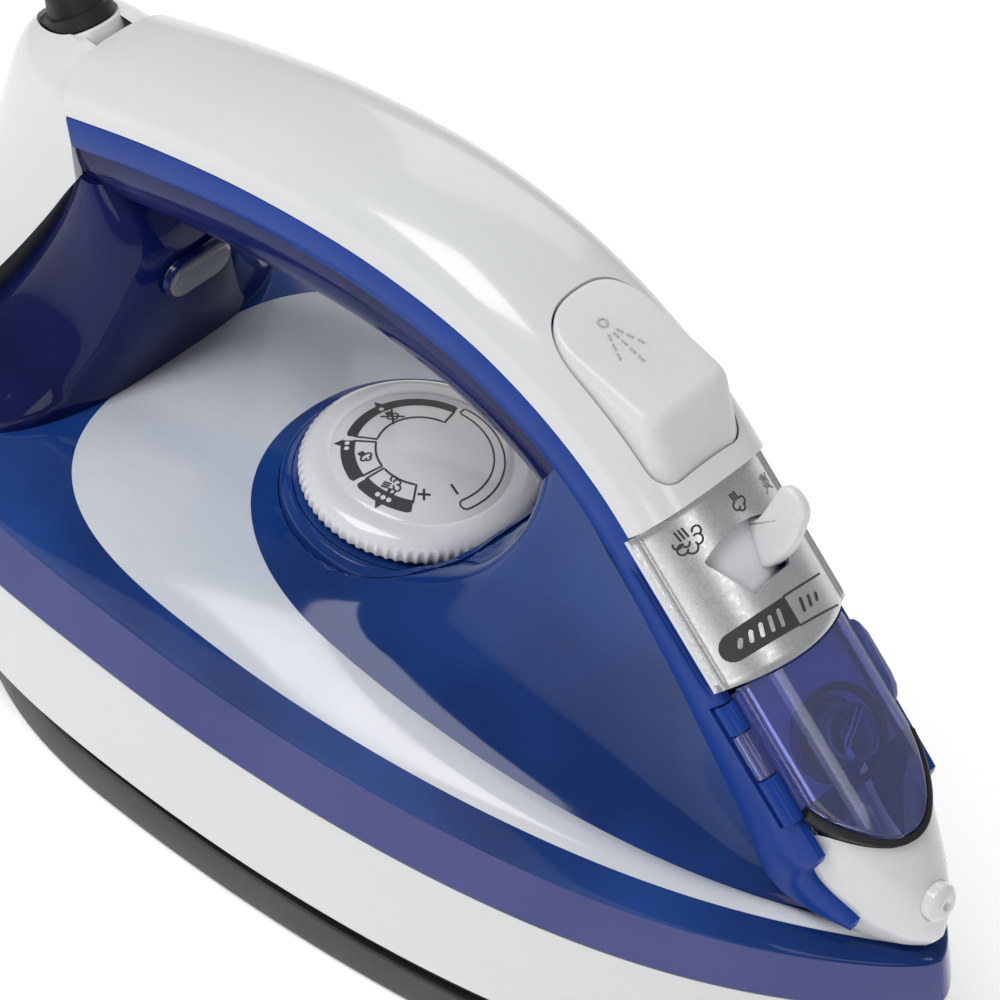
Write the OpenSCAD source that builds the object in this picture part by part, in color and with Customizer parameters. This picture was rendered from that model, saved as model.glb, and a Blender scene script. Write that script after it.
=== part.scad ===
// Steam iron: an assembly of separate shells, controls, pump, valve and heated sole.
// Frame: +X towards the tip, +Y to the left of the user, +Z up.
// The origin is under the middle of the whole object, on the plane of the sole's flat face.

/* [Body] */
// Half the width of the body at its widest
body_half_w = 59.8; // [57:0.2:62]
// X of the soleplate's tip
tip_x = 133; // [131:1:135]
// X of the widest point of the body
mid_x = -41.5; // [-45:0.5:-38]
// Height of the top edge of the skirt
skirt_top_z = 41; // [39:0.5:43]
// Height of the shoulder line of the tank
shoulder_z = 51.5; // [50:0.5:53]
// Wall of the moulded shells
wall = 2; // [1.8:0.1:2.4]

/* [Handle] */
// Half the width of the handle's side bands at the middle
handle_half_w = 18; // [17.5:0.1:18.4]
// Depth of the grip under the lower edge of the side bands
grip_depth = 17; // [15:0.5:18]

/* [Controls] */
// Radius of the temperature dial
dial_r = 24.9; // [23:0.1:25.5]
// Height of the temperature dial's flat top
dial_top_z = 84; // [83:0.5:85]
// Travel of the spray button
button_travel = 6; // [4:0.5:7]
// Swing of the steam lever, in degrees
lever_swing = 50; // [40:1:50]

/* [Sole] */
// Thickness of the sole's outer plate
sole_t = 9; // [7:0.5:9]
// Radius of one steam vent
vent_r = 1.3; // [1:0.1:1.6]

/* [Hidden] */
$fn = 48;

body_blue = [0.10, 0.22, 0.62];
tint_blue = [0.16, 0.26, 0.62, 0.75];
white_abs = [0.90, 0.91, 0.90];
clear_tint = [0.72, 0.78, 0.84, 0.5];
dark_grey = [0.25, 0.26, 0.27];
silver = [0.72, 0.73, 0.74];
steel = [0.6, 0.6, 0.62];
black = [0.08, 0.08, 0.09];

dial_x = -15.5;                      // axis of the dial, the thermostat and the tank's dry well
pump_x = 33;                         // axis of the spray pump and its button
rod_x = 66;                          // axis of the steam valve rod
slope = 38.6;                        // fall of the control panel and the lid, in degrees
slope_o = [50.5, 0, 120.2];          // start of the panel's lower edge line, on the middle plane
slope_n = [sin(slope), 0, cos(slope)];
lever_s = 27.5;                      // distance of the lever's pivot down the slope
lever_h = 5;                         // height of the lever's pivot off the slope line
lever_tilt = 45;                     // lean of the lever's axis off the slope's normal
drive_r = 4.2;                       // reach of the lever's drive pin and of the valve rod's fork
drive_ratio = 0.94;                  // turn of the valve rod for each degree of the lever
hinge_y = -17.2;                     // lid hinge axis, across
hinge_h = -1.2;                      // lid hinge axis, off the slope line
crown_r = 28;                        // radius of the panel's crown
crown_h = 7.6;                       // height of the panel's ridge
lid_half = 15;                       // half the width of the fill lid and the nose
plug_s = 52.6;                       // distance of the filling hole down the slope
outline_n = 64;                      // points round every body outline
step_t = 0.25;                       // spacing of the handle's cross-sections

// ---- shapes shared by several parts ----
function sgn(v) = v < 0 ? -1 : 1;
function sp(v, n) = sgn(v) * pow(abs(v), 2 / n);

// Boat-shaped outline: a pointed front and a squarish tail, from the tip round by the left side.
function boat(w, tip, rear, nose = 0.6, tail = 3.6, mid = mid_x) =
  [for (i = [0:outline_n - 1]) let (a = 360 * i / outline_n, c = cos(a), s = sin(a))
    c >= 0 ? [mid + (tip - mid) * c, w * sgn(s) * pow(max(0, 1 - c * c), nose) * (1 - 0.3 * pow(c, 8))]
           : [mid - (mid - rear) * sp(-c, tail), w * sp(s, tail)]];
function at_z(outline, z) = [for (p = outline) [p.x, p.y, z]];
function lower(ring, d) = [for (p = ring) p - [0, 0, d]];

// Levels joined into a closed tube of walls, like a ring.
module ring_loft(levels) {
  n = len(levels[0]);
  m = len(levels);
  polyhedron([for (l = levels) each l],
    [for (k = [0:m - 1], i = [0:n - 1]) let (a = k * n + i, b = k * n + (i + 1) % n,
       c = ((k + 1) % m) * n + (i + 1) % n, d = ((k + 1) % m) * n + i)
       each [[a, c, b], [a, d, c]]]);
}

function mean(ring, i = 0) = i == len(ring) ? [0, 0, 0] : ring[i] / len(ring) + mean(ring, i + 1);

// Levels stacked into a solid with a flat cap on each end.
module stack_loft(levels) {
  n = len(levels[0]);
  m = len(levels);
  polyhedron([for (l = levels) each l, mean(levels[0]), mean(levels[m - 1])],
    [for (k = [0:m - 2], i = [0:n - 1]) let (a = k * n + i, b = k * n + (i + 1) % n,
       c = (k + 1) * n + (i + 1) % n, d = (k + 1) * n + i)
       each [[a, c, b], [a, d, c]],
     for (i = [0:n - 1]) [m * n, i, (i + 1) % n],
     for (i = [0:n - 1]) [m * n + 1, (m - 1) * n + (i + 1) % n, (m - 1) * n + i]]);
}

// Levels that are each an outer arc followed by the inner arc turned back: a curved wall.
module arc_loft(levels) {
  n = len(levels[0]);
  m = len(levels);
  polyhedron([for (l = levels) each l],
    [for (k = [0:m - 2], i = [0:n - 1]) let (a = k * n + i, b = k * n + (i + 1) % n,
       c = (k + 1) * n + (i + 1) % n, d = (k + 1) * n + i)
       each [[a, c, b], [a, d, c]],
     for (i = [0:n / 2 - 2]) let (j = n - 1 - i) each [[i, i + 1, j - 1], [i, j - 1, j]],
     for (i = [0:n / 2 - 2]) let (j = n - 1 - i, o = (m - 1) * n) each [[o + i, o + j - 1, o + i + 1], [o + i, o + j, o + j - 1]]]);
}

// ---- body outlines ----
function skirt_low() = boat(59.2, 128, -122.5, tail = 2.6);
function skirt_top() = boat(body_half_w, 128.5, -125.4);
function shoulder() = boat(55.5, 126, -124.4);
function window_out() = [for (p = boat(52, 122, -84, 0.75, 3, -22)) [p.x, p.y, 60 - 0.0005 * pow(max(0, p.x), 2)]];
function window_in() = [for (p = boat(39, 118, -46.5, 0.75, 2.2, -1)) [p.x, p.y, 66.2 - 0.11 * p.x]];
function window_mid() = let (o = window_out(), i = window_in())
  [for (k = [0:outline_n - 1]) (o[k] + i[k]) / 2 + [0, 0, 1.2]];
function inset(ring, d) = [for (p = ring) let (q = [p.x - mid_x, p.y], l = max(norm(q), 1))
  [p.x - q.x * d / l, p.y - q.y * d / l, p.z]];

// ---- handle spine: x, z of the side bands' lower edge, band height, ridge height, grip depth, half width
spine = [
  [-100, 116.6, 7.5, 18, 15.5, 17],
  [-76, 124.6, 7.7, 18.6, 16.5, 17.3],
  [-48, 131.6, 7.8, 19.4, grip_depth, 17.7],
  [-18, 135, 8, 20, grip_depth, handle_half_w],
  [10, 132.2, 8.3, 19.4, grip_depth, handle_half_w],
  [36, 121.5, 8.3, 18.2, 16, handle_half_w],
  [60, 100.5, 9.2, 17.6, 14, handle_half_w],
  [84, 75.5, 14, 17, 12, handle_half_w],
  [96, 61, 15, 17, 10, 17.2],
  [112, 58, 3, 17, 8, 13]];
function pick(k) = spine[min(max(k, 0), len(spine) - 1)];
function blend4(t) = let (k = min(floor(t), len(spine) - 2), f = t - k,
    a = pick(k - 1), b = pick(k), c = pick(k + 1), d = pick(k + 2))
  0.5 * (2 * b + (c - a) * f + (2 * a - 5 * b + 4 * c - d) * f * f + (3 * b - a - 3 * c + d) * f * f * f);
function fall(t) = let (e = 0.01, a = blend4(max(t - e, 0)), b = blend4(min(t + e, 9))) atan2(b[1] - a[1], b[0] - a[0]);
// Along the panel and the lid the side bands end on the slope line, then run out round the nose.
function to_slope(t) = let (v = blend4(t), a = fall(t)) (slope_o - [v[0], 0, v[1]]) * slope_n / ([-sin(a), 0, cos(a)] * slope_n);
function band_h(t) = t < 5.5 ? blend4(t)[2] : t < 7.5 ? to_slope(t)
  : let (f = (t - 7.5) / 1.5) to_slope(7.5) * (1 - f) + 3 * f;
function on_spine(t, y, h) = let (v = blend4(t), a = fall(t)) [v[0] - h * sin(a), y, v[1] + h * cos(a)];
function cover_arc(t, off, n = 12) = let (v = blend4(t), hb = band_h(t))
  [for (k = [0:n]) let (a = 180 * k / n)
    on_spine(t, -(v[5] - off) * sp(cos(a), 2.6), hb + (v[3] - hb - off) * sp(sin(a), 2.6))];
function grip_arc(t, off, n = 12) = let (v = blend4(t), w = v[5] - 0.8 - off, d = v[4] - off)
  [for (k = [0:n]) let (a = 180 * k / n) on_spine(t, -w * sp(cos(a), 2.4), -d * sp(sin(a), 2.4))];
function turned(list) = [for (i = [len(list) - 1:-1:0]) list[i]];

// ---- tank top: from the window's inner edge up to the underside of the handle ----
stem_t = 4.75;                       // where the grip's shell ends and the front stem starts
function stem_ring(off) =
  [for (i = [0:outline_n - 1]) let (a = 360 * i / outline_n, c = cos(a), s = sin(a), v = blend4(stem_t),
      w = v[5] - 0.8 - off)
    c < 0 ? on_spine(stem_t, w * sp(s, 2.4), -(v[4] - off) * sp(-c, 2.4))
          : let (t = stem_t + (7.9 - stem_t - off / 30) * c, e = blend4(t))
            on_spine(t, (e[5] - 0.8 - off) * sgn(s) * pow(abs(s), 0.25), -0.4)];
function tank_top_ring(v, off) = let (lo = lower(window_in(), off), hi = stem_ring(off))
  [for (i = [0:outline_n - 1]) let (p = lo[i], q = hi[i], back = max(0, -cos(360 * i / outline_n)),
      a = p + [(q.x - p.x) * 0.45, (q.y - p.y) * 0.7, 4 - 0.8 * back - off * 0.2],
      b = [q.x - (q.x - p.x) * 0.03, q.y, max(q.z - 26 - 20 * back, p.z + 2)])
    pow(1 - v, 3) * p + 3 * pow(1 - v, 2) * v * a + 3 * (1 - v) * v * v * b + pow(v, 3) * q];

// ---- frames ----
module on_slope() translate(slope_o) rotate([0, slope, 0]) children();
module along_slope(s0, s1) translate([s0, 0, 0]) rotate([90, 0, 90]) linear_extrude(s1 - s0) children();
module sector(r0, r1, half) intersection() {
  difference() {
    circle(r1);
    circle(r0);
  }
  polygon([[0, 0], [-40, -40 * tan(half)], [-40, 40 * tan(half)]]);
}
module rod_between(a, b, r) {
  d = b - a;
  translate(a) rotate([0, acos(d.z / norm(d)), atan2(d.y, d.x)]) cylinder(r = r, h = norm(d));
}

// ================= sole and steam chamber =================
chamber_z = 16;                      // top of the sole's casting
screw_spots = [[-88, 0], [-50, 33], [-50, -33], [40, 26], [40, -26], [96, 0]];

module vents() {
  for (side = [-1, 1], i = [0:8])
    translate([104 - 17 * i, side * (9 + 3.9 * i - 0.11 * i * i), -1]) cylinder(r = vent_r, h = 9);
  for (side = [-1, 1], i = [0:3])
    translate([96 - 12 * i, side * (4 + 2.5 * i), -1]) cylinder(r = vent_r, h = 9);
}

module soleplate() color(dark_grey) difference() {
  union() {
    linear_extrude(sole_t) polygon(boat(57.6, tip_x, -112.5, tail = 2.2));
    linear_extrude(chamber_z) polygon(boat(45, 114, -96, 0.7, 2.4));
  }
  translate([0, 0, 5]) linear_extrude(20) difference() {
    polygon(boat(40.5, 104, -42, 0.7, 3));
    polygon(boat(30, 76, -60, 0.7, 3));
  }
  translate([0, 0, 8.6]) linear_extrude(20) hairpin_slot(4);
  translate([0, 0, 5]) vents();
  vents();
  for (p = screw_spots) translate([p.x, p.y, 7]) cylinder(r = 1.6, h = 20);
}

module hairpin_slot(half) {
  translate([-78, 16 - half]) square([108, 2 * half]);
  translate([-78, -16 - half]) square([108, 2 * half]);
  translate([30, 0]) difference() {
    circle(16 + half);
    circle(16 - half);
    translate([-40, -40]) square([40, 80]);
  }
}

module heating_element() color(steel) translate([0, 0, 12.3]) {
  for (side = [-1, 1]) {
    translate([-77, side * 16, 0]) rotate([0, 90, 0]) cylinder(r = 3.4, h = 107);
    translate([-73.5, side * 16, 0]) cylinder(r = 1.8, h = 18);
  }
  translate([30, 0, 0]) rotate([0, 0, -90]) rotate_extrude(angle = 180) translate([16, 0]) circle(3.4);
}

module chamber_plan() difference() {
  polygon(boat(44.4, 112, -94, 0.7, 2.4));
  translate([dial_x, 0]) circle(11.4);
  for (side = [-1, 1]) translate([-73.5, side * 16]) circle(3);
  for (p = screw_spots) translate(p) circle(1.8);
}

module chamber_gasket() color([0.75, 0.25, 0.15]) translate([0, 0, chamber_z]) linear_extrude(0.6) difference() {
  chamber_plan();
  polygon(boat(39, 100, -40, 0.7, 3));
}

module chamber_cover() color(steel) translate([0, 0, chamber_z + 0.6]) linear_extrude(1.6) difference() {
  chamber_plan();
  translate([rod_x, 0]) circle(4.6);
}

module chamber_screws() color(steel) for (p = screw_spots) translate([p.x, p.y, 0]) {
  translate([0, 0, 9]) cylinder(r = 1.55, h = 9.3);
  translate([0, 0, chamber_z + 2.3]) cylinder(r = 3, h = 2);
}

module heat_shield() color(dark_grey) ring_loft([
  at_z(boat(56.2, 126, -113, tail = 2.3), sole_t + 0.3), at_z(boat(56.8, 127, -115, tail = 2.4), 13),
  at_z(boat(47, 118, -100, tail = 2.4), 13), at_z(boat(47, 118, -99, tail = 2.4), sole_t + 0.3)]);

module skirt() color(white_abs) ring_loft([
  at_z(skirt_low(), 13.2), at_z(boat(59.7, 128.6, -124.6, tail = 3), 26), at_z(skirt_top(), skirt_top_z),
  inset(at_z(skirt_top(), skirt_top_z), wall + 0.4), inset(at_z(boat(59.7, 128.6, -124.6, tail = 3), 26), wall + 0.4),
  inset(at_z(skirt_low(), 13.2), wall + 0.4)]);

module thermostat() color(steel) translate([dial_x, 0, 0]) {
  translate([0, 0, chamber_z + 0.2]) cylinder(r = 10.8, h = 6.2);
  translate([0, 0, 22.4]) cylinder(r = 5.5, h = 9);
  translate([-6, -5, 31.4]) cube([26, 10, 1]);
  translate([0, 0, 32.4]) cylinder(r = 3.4, h = 4);
}

module thermal_fuse() color(white_abs) {
  rod_between([-56, -8, 23], [-36, -8, 23], 2.6);
  translate([-57, -11, 18.4]) cube([2, 6, 8]);
  translate([-37, -11, 18.4]) cube([2, 6, 8]);
}

// ================= tank =================
module tank_floor() color(tint_blue) difference() {
  union() {
    translate([0, 0, skirt_top_z + 0.4]) linear_extrude(wall) polygon(boat(56, 122, -121));
    translate([dial_x, 0, skirt_top_z + 1]) cylinder(r = 8.5, h = 26.8);
    for (side = [-1, 1]) translate([-113, side * 7, skirt_top_z + 1]) cylinder(r = 2.6, h = 14.6);
    translate([rod_x, 0, 30]) cylinder(r = 6.5, h = 16);
  }
  translate([dial_x, 0, 0]) cylinder(r = 6.5, h = 90);
  translate([rod_x, 0, 0]) cylinder(r = 3.2, h = 90);
  for (side = [-1, 1]) translate([-113, side * 7, 0]) cylinder(r = 1.5, h = 90);
}

module tank_shell() color(tint_blue) difference() {
  ring_loft([
    at_z(skirt_top(), skirt_top_z + 0.2), at_z(shoulder(), shoulder_z), window_out(),
    lower(window_out(), wall), inset(at_z(shoulder(), shoulder_z - 0.6), wall + 0.6),
    inset(at_z(skirt_top(), skirt_top_z + 0.2), wall + 0.4)]);
  for (side = [-1, 1]) translate([-113, side * 7, skirt_top_z + 3]) cylinder(r = 2.65, h = 30);
}

// Everything inside the tank shell's outer skin, for trimming what stands on it.
module tank_body() stack_loft([
  at_z(skirt_top(), skirt_top_z - 10), at_z(skirt_top(), skirt_top_z + 0.2), at_z(shoulder(), shoulder_z),
  window_out(), [for (p = window_out()) [-22, 0, 58]]]);

module tank_window() color(clear_tint)
  ring_loft([window_out(), window_mid(), window_in(), lower(window_in(), wall), lower(window_mid(), wall),
    lower(window_out(), wall)]);

module tank_top() color(tint_blue) difference() {
  ring_loft([for (k = [0:8]) tank_top_ring(k / 8, 0), for (k = [8:-1:0]) tank_top_ring(k / 8, wall)]);
  translate([dial_x, 0, 50]) cylinder(r = 28.1, h = 70);
}
module tank_top_solid() stack_loft([for (k = [0:8]) tank_top_ring(k / 8, 0)]);

stem_sections = [                    // z, rear x, front x, half width
  [53, -121, -84, 44], [60, -120.5, -82, 41], [66, -119.8, -81, 34], [75, -116.3, -79.6, 26.5],
  [84, -112.6, -79.2, 22], [92, -109.4, -80.2, 19.6], [99, -106.7, -82.6, 18.2], [105, -104.4, -86.5, 17.2],
  [110, -102.6, -91, 16.6]];
function slab(s, off) = [for (i = [0:31]) let (a = 360 * i / 32, cx = (s[1] + s[2]) / 2, l = (s[2] - s[1]) / 2 - off)
  [cx + l * sp(cos(a), 2.6), (s[3] - off) * sp(sin(a), 2.6), s[0]]];

module handle_core(off) stack_loft([for (t = [0:step_t:stem_t]) concat(grip_arc(t, off), turned(cover_arc(t, off)))]);

module rear_stem() color(tint_blue) difference() {
  ring_loft([for (s = stem_sections) slab(s, 0), for (s = turned(stem_sections)) slab(s, wall)]);
  stadium(0.05, -90, -70);
  tank_body();
  stack_loft([lower(window_out(), 3), window_out(), window_mid()]);
  handle_core(-0.1);
}

// ================= handle =================
module handle_grip() color(tint_blue) arc_loft([for (t = [0:step_t:stem_t])
  concat(grip_arc(t, 0), turned(grip_arc(t, wall)))]);

module band(side) arc_loft([for (t = [0:step_t:9]) let (w = blend4(t)[5], h = band_h(t), in = w - 2.2)
  [on_spine(t, side * w, 0.1), on_spine(t, side * w, h - 0.1),
   on_spine(t, side * in, h - 0.1), on_spine(t, side * in, 0.1)]]);

module handle_frame() color(body_blue) difference() {
  union() {
    band(1);
    mirror([0, 1, 0]) band(1);
    for (x = [-84, -30]) translate([x, -16.4, x < -50 ? 125 : 137]) cube([3, 32.8, 3]);
  }
  on_slope() translate([34.6, -21, -5.2]) cube([26.8, 6.4, 12]);
  on_slope() translate([-1.9, -30, -0.02]) cube([61.6, 60, 30]);
  stack_loft([for (c = nose_sections) nose_arc(c, -0.1)]);
}

key_round = 4.8;                     // corner radius of the spray key's front end
key_front = 46.6;                    // centre of those corners, along the iron
function button_plan(g) = concat(
  [for (k = [0:6]) let (a = -90 + 15 * k) [key_front + (key_round + g) * cos(a), -7.2 + (key_round + g) * sin(a)]],
  [for (k = [0:6]) let (a = 15 * k) [key_front + (key_round + g) * cos(a), 7.2 + (key_round + g) * sin(a)]],
  [for (k = [0:20]) let (a = 90 + 9 * k) [29 + (13.5 + g) * sp(cos(a), 2.7), (12.2 + g) * sp(sin(a), 2.7)]]);

module handle_cover() color(white_abs) difference() {
  arc_loft([for (t = [0:step_t:5.75]) concat(cover_arc(t, 0), turned(cover_arc(t, wall)))]);
  translate([0, 0, 118]) linear_extrude(50) polygon(button_plan(0.4));
  on_slope() translate([-1.9, -30, -20]) cube([60, 60, 60]);
}

cover_sections = [                   // z, rear x, front x, half width
  [14, -132, -126.4, 38], [18, -133, -126.4, 42], [50, -133, -126.2, 42], [56, -133, -123.2, 39],
  [66, -132.6, -120.2, 33], [75, -132, -116.7, 27], [84, -131.3, -113, 22.5], [95, -130.3, -108.6, 19.6],
  [105, -129.2, -104.8, 18], [116.6, -127.8, -100.4, 17], [124, -126.2, -103, 15.5], [129, -124, -105, 12.5],
  [132.6, -119, -107, 7]];

function cover_slab(c, off) = [for (i = [0:20]) let (a = 80 + 10 * i, cx = c[2], l = c[2] - c[1] - off)
  [cx + l * sp(cos(a), 2.4), (c[3] - off) * sp(sin(a), 3), c[0]]];
module rear_cover() color(white_abs) difference() {
  union() {
    arc_loft([for (c = cover_sections) concat(cover_slab(c, 0), turned(cover_slab(c, 1.9)))]);
    translate([0, 0, 14]) linear_extrude(2) polygon([for (p = cover_slab(cover_sections[0], 0.3)) [p.x, p.y]]);
    translate([-113, 0, 126]) rotate([0, -35, 0]) cylinder(r = 8, h = 4.4);
  }
  translate([-113, 0, 126]) rotate([0, -35, 0]) {
    translate([0, 0, -20]) cylinder(r = 6.5, h = 40);
    translate([0, 0, 4.4]) cylinder(r = 8.4, h = 20);
    translate([0, 0, -8.2]) cylinder(r = 8.1, h = 5.6);
  }
  translate([spine[0].x, 0, spine[0].y]) rotate([0, -fall(0), 0]) translate([-0.15, -30, -17]) cube([30, 60, 60]);
  stack_loft([for (s = stem_sections) slab(s, -0.1)]);
  heel_pads();
  for (side = [-1, 1]) translate([-140, side * 9, 92]) rotate([0, 90, 0]) cylinder(r = 1.7, h = 30);
  for (side = [-1, 1]) translate([-140, side * 9, 92]) rotate([0, 90, 0]) cylinder(r = 3.2, h = 10.6);
}

module rear_cover_screws() color(steel) for (side = [-1, 1]) translate([-130.6, side * 9, 92]) rotate([0, 90, 0]) {
  cylinder(r = 2.9, h = 1.2);
  cylinder(r = 1.6, h = 14);
}

module heel_pads() color(black) {
  for (side = [-1, 1]) translate([-133, side * 27, 28]) rotate([0, 90, 0]) cylinder(r = 5, h = 1.2);
  for (side = [-1, 1]) translate([-133, side * 11, 72]) rotate([0, 90, 0]) cylinder(r = 4, h = 1.2);
}

// ================= nose and nozzle =================
nose_sections = [                    // distance down the slope, half width, ridge, lower edge
  [59.7, 15, 7.4, 0.4], [62, 15, 7.4, -1], [68, 14.9, 7, -5], [74, 14.4, 6.4, -9], [80, 13, 5.4, -12],
  [86, 10.8, 3.8, -12.4], [91, 8, 1.6, -11], [95, 5, -1, -8], [97.4, 2, -3.2, -6]];
function nose_arc(c, off, n = 14) = let (w = c[1] - min(off, c[1] / 2), top = c[2] - min(off, (c[2] - c[3]) / 2))
  [for (k = [0:n]) let (a = 180 * k / n, s = c[0] - (c[0] > 95 ? off : 0), y = -w * sp(cos(a), 2.1),
      h = c[3] + (top - c[3]) * sp(sin(a), 2.6))
    [slope_o.x + s * cos(slope) + h * sin(slope), y, slope_o.z - s * sin(slope) + h * cos(slope)]];

function lid_plan(g) = let (a = [[59.5, lid_half], [63.5, 13.6], [68, 10.8], [71.5, 7.6], [74, 4]])
  concat([[33.9 - g, -lid_half - g]], [for (p = a) [p.x + g, -p.y - g * p.y / 20]],
    [[74.9 + g, 0]], [for (p = turned(a)) [p.x + g, p.y + g * p.y / 20]], [[33.9 - g, lid_half + g]]);

module nose_cover() color(white_abs) difference() {
  arc_loft([for (c = nose_sections) concat(nose_arc(c, 0), turned(nose_arc(c, 2)))]);
  on_slope() translate([0, 0, -30]) linear_extrude(60) polygon(lid_plan(1.9));
  nozzle_at() translate([0, 0, -12]) cylinder(r = 4.2, h = 30);
}

module nozzle_at() on_slope() translate([88.5, 0, 0]) rotate([0, 40, 0]) children();
module spray_nozzle() color(white_abs) nozzle_at() difference() {
  union() {
    translate([0, 0, -6]) cylinder(r = 4, h = 9.6);
    translate([0, 0, 3.6]) cylinder(r1 = 4, r2 = 2.6, h = 1.2);
  }
  translate([0, 0, -8]) cylinder(r = 1.6, h = 11);
  translate([0, 0, -8]) cylinder(r = 0.5, h = 20);
}

// ================= control panel, steam lever =================
module crown(top, t, half, low) intersection() {
  difference() {
    translate([0, top - crown_r]) circle(crown_r, $fn = 96);
    translate([0, top - crown_r]) circle(crown_r - t, $fn = 96);
  }
  translate([-half, low]) square([2 * half, 20]);
}
module crown_skirt(top, half, t, low, high) for (side = [-1, 1])
  translate([side > 0 ? half - t : -half, low]) square([t, high - low]);

module control_panel() color(silver) on_slope() difference() {
  union() {
    along_slope(-1.5, 33) crown(crown_h, 1.4, 18.4, 0.05);
    along_slope(-1.5, 33) crown_skirt(crown_h, 18.7, 0.6, 0.05, 1.6);
  }
  translate([lever_s, 0, 0]) linear_extrude(20) sector(7.6, 20.4, 28.5);
}

module lever_at() on_slope() translate([lever_s, 0, lever_h]) rotate([0, lever_tilt, 0]) children();

module steam_lever() color(white_abs) lever_at() {
  rotate(73) rotate_extrude(angle = 152) polygon([[3.6, -3.9], [4.2, -3.1], [15.4, -14.3], [14.8, -15.1]]);
  translate([0, 0, -10.4]) cylinder(r = 2.4, h = 9.3);
  translate([0, 0, -24.2]) cylinder(r = 1.2, h = 14);
  translate([0, 0, -6.2]) cylinder(r = 5.6, h = 1.6);
  translate([0, 0, -10.4]) cylinder(r = 5.4, h = 1.4);
  rotate(-lever_swing / 2) translate([drive_r, 0, -14.1]) cylinder(r = 1, h = 4);
  rotate(-25) rotate([90, 0, 0]) translate([0, 0, -1.1]) linear_extrude(2.2)
    polygon([[-8, -8.2], [-13.8, -14], [-15.8, -12], [-19.1, -10.9], [-23.2, -9.9], [-24.6, -8.6], [-24.4, -6.4],
      [-23.2, -4], [-21.1, -2.6], [-17.7, -2.4], [-14.9, -2.6], [-11.2, -4.4]]);
}

module lever_bracket() color(white_abs) {
  lever_at() difference() {
    union() {
      translate([0, 0, -26]) cylinder(r = 4.4, h = 10.4);
      translate([-1.5, -14.9, -24]) cube([3, 29.8, 5]);
    }
    translate([0, 0, -24.6]) cylinder(r = 1.25, h = 12);
  }
}

module valve_rod() color(steel) translate([rod_x, 0, 0]) {
  translate([0, 0, 20.6]) cylinder(r = 1.5, h = 75.4);
  translate([0, 0, 96]) cylinder(r = 2.6, h = 2);
  rotate(drive_ratio * lever_swing / 2) {
    translate([-drive_r - 1, -3.1, 98]) cube([drive_r + 3, 6.2, 1.2]);
    for (side = [-1, 1]) translate([-drive_r, side * 2.2, 98.5]) cylinder(r = 0.8, h = 4.9);
  }
}

module valve_seat() color(black) translate([rod_x, 0, 0]) difference() {
  translate([0, 0, 18.4]) cylinder(r = 3.2, h = 26);
  translate([0, 0, 20.5]) cylinder(r = 1.55, h = 30);
  translate([0, 0, 10]) cylinder(r = 0.6, h = 20);
}

// ================= filling lid =================
module fill_lid() color([0.14, 0.16, 0.6, 0.6]) on_slope() {
  intersection() {
    union() {
      along_slope(33.9, 78) crown(7.2, 1.7, lid_half, -3);
      along_slope(33.9, 60) crown_skirt(7.2, lid_half, 1.5, 0.4, 3.4);
    }
    translate([0, 0, -10]) linear_extrude(30) polygon(lid_plan(0));
  }
  translate([plug_s, 0, -2.2]) difference() {
    cylinder(r = 6, h = 9);
    translate([0, 0, -1]) cylinder(r = 4.6, h = 9);
    translate([0, 0, 1.7]) rotate_extrude() translate([6, 0]) circle(0.95, $fn = 24);
  }
  translate([36.5, lid_half - 1, 0.4]) cube([16.5, 3.8, 1.6]);
  translate([41.2, hinge_y, hinge_h]) rotate([0, 90, 0]) difference() {
    union() {
      cylinder(r = 2.2, h = 9.6);
      translate([-2.9, 0, 0]) cube([1.6, 3.2, 9.6]);
    }
    translate([0, 0, -1]) cylinder(r = 1.25, h = 12);
  }
}

module lid_seal() color(black) on_slope() translate([plug_s, 0, -0.5])
  rotate_extrude() translate([6, 0]) circle(0.9, $fn = 24);

module lid_rim_seal() color(black) on_slope() intersection() {
  along_slope(60.5, 79) crown(6.8, 1.4, 15.5, 0);
  translate([0, 0, -10]) linear_extrude(30) difference() {
    polygon(lid_plan(1.8));
    polygon(lid_plan(0.35));
    translate([0, -0.95]) polygon(lid_plan(0.35));
  }
}

module lid_hinge_pin() color(steel) on_slope() translate([35.4, hinge_y, hinge_h]) rotate([0, 90, 0]) cylinder(r = 1.2, h = 21.6);

module lid_hinge_bracket() color(body_blue) on_slope() difference() {
  union() for (s = [[34.8, 6.1], [51.1, 10]]) translate([s[0], 0, 0]) {
    translate([0, hinge_y, hinge_h]) rotate([0, 90, 0]) cylinder(r = 2.3, h = s[1]);
    translate([0, -19.4, -5]) cube([s[1], 4.1, 3.6]);
  }
  translate([34, hinge_y, hinge_h]) rotate([0, 90, 0]) cylinder(r = 1.2, h = 30);
}

module fill_funnel() color(tint_blue) on_slope() difference() {
  union() {
    translate([34.6, -14.6, -4.2]) cube([26, 29.2, 1.6]);
    translate([plug_s, 0, -16]) cylinder(r = 8.6, h = 15.4);
  }
  translate([plug_s, 0, -20]) cylinder(r = 7.2, h = 30);
}

// ================= spray pump =================
// The key's front face leans back: everything behind that face, pulled in by g.
module key_lean(g) translate([45.5 - g, 0, 145.3]) rotate([0, -24.4, 0]) translate([-80, -20, -40]) cube([80, 40, 80]);
key_crown = 52;                      // radius of the key's top, across
module spray_button() color([0.93, 0.93, 0.92]) difference() {
  intersection() {
    translate([0, 0, 127.6]) linear_extrude(40) polygon(button_plan(0));
    key_lean(0);
    translate([15.5, 0, 151]) rotate([0, 10.7, 0]) translate([-20, 0, -key_crown]) rotate([0, 90, 0]) cylinder(r = key_crown, h = 80);
  }
  intersection() {
    translate([0, 0, 127]) linear_extrude(16) polygon(button_plan(-1.8));
    key_lean(2);
  }
}

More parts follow.
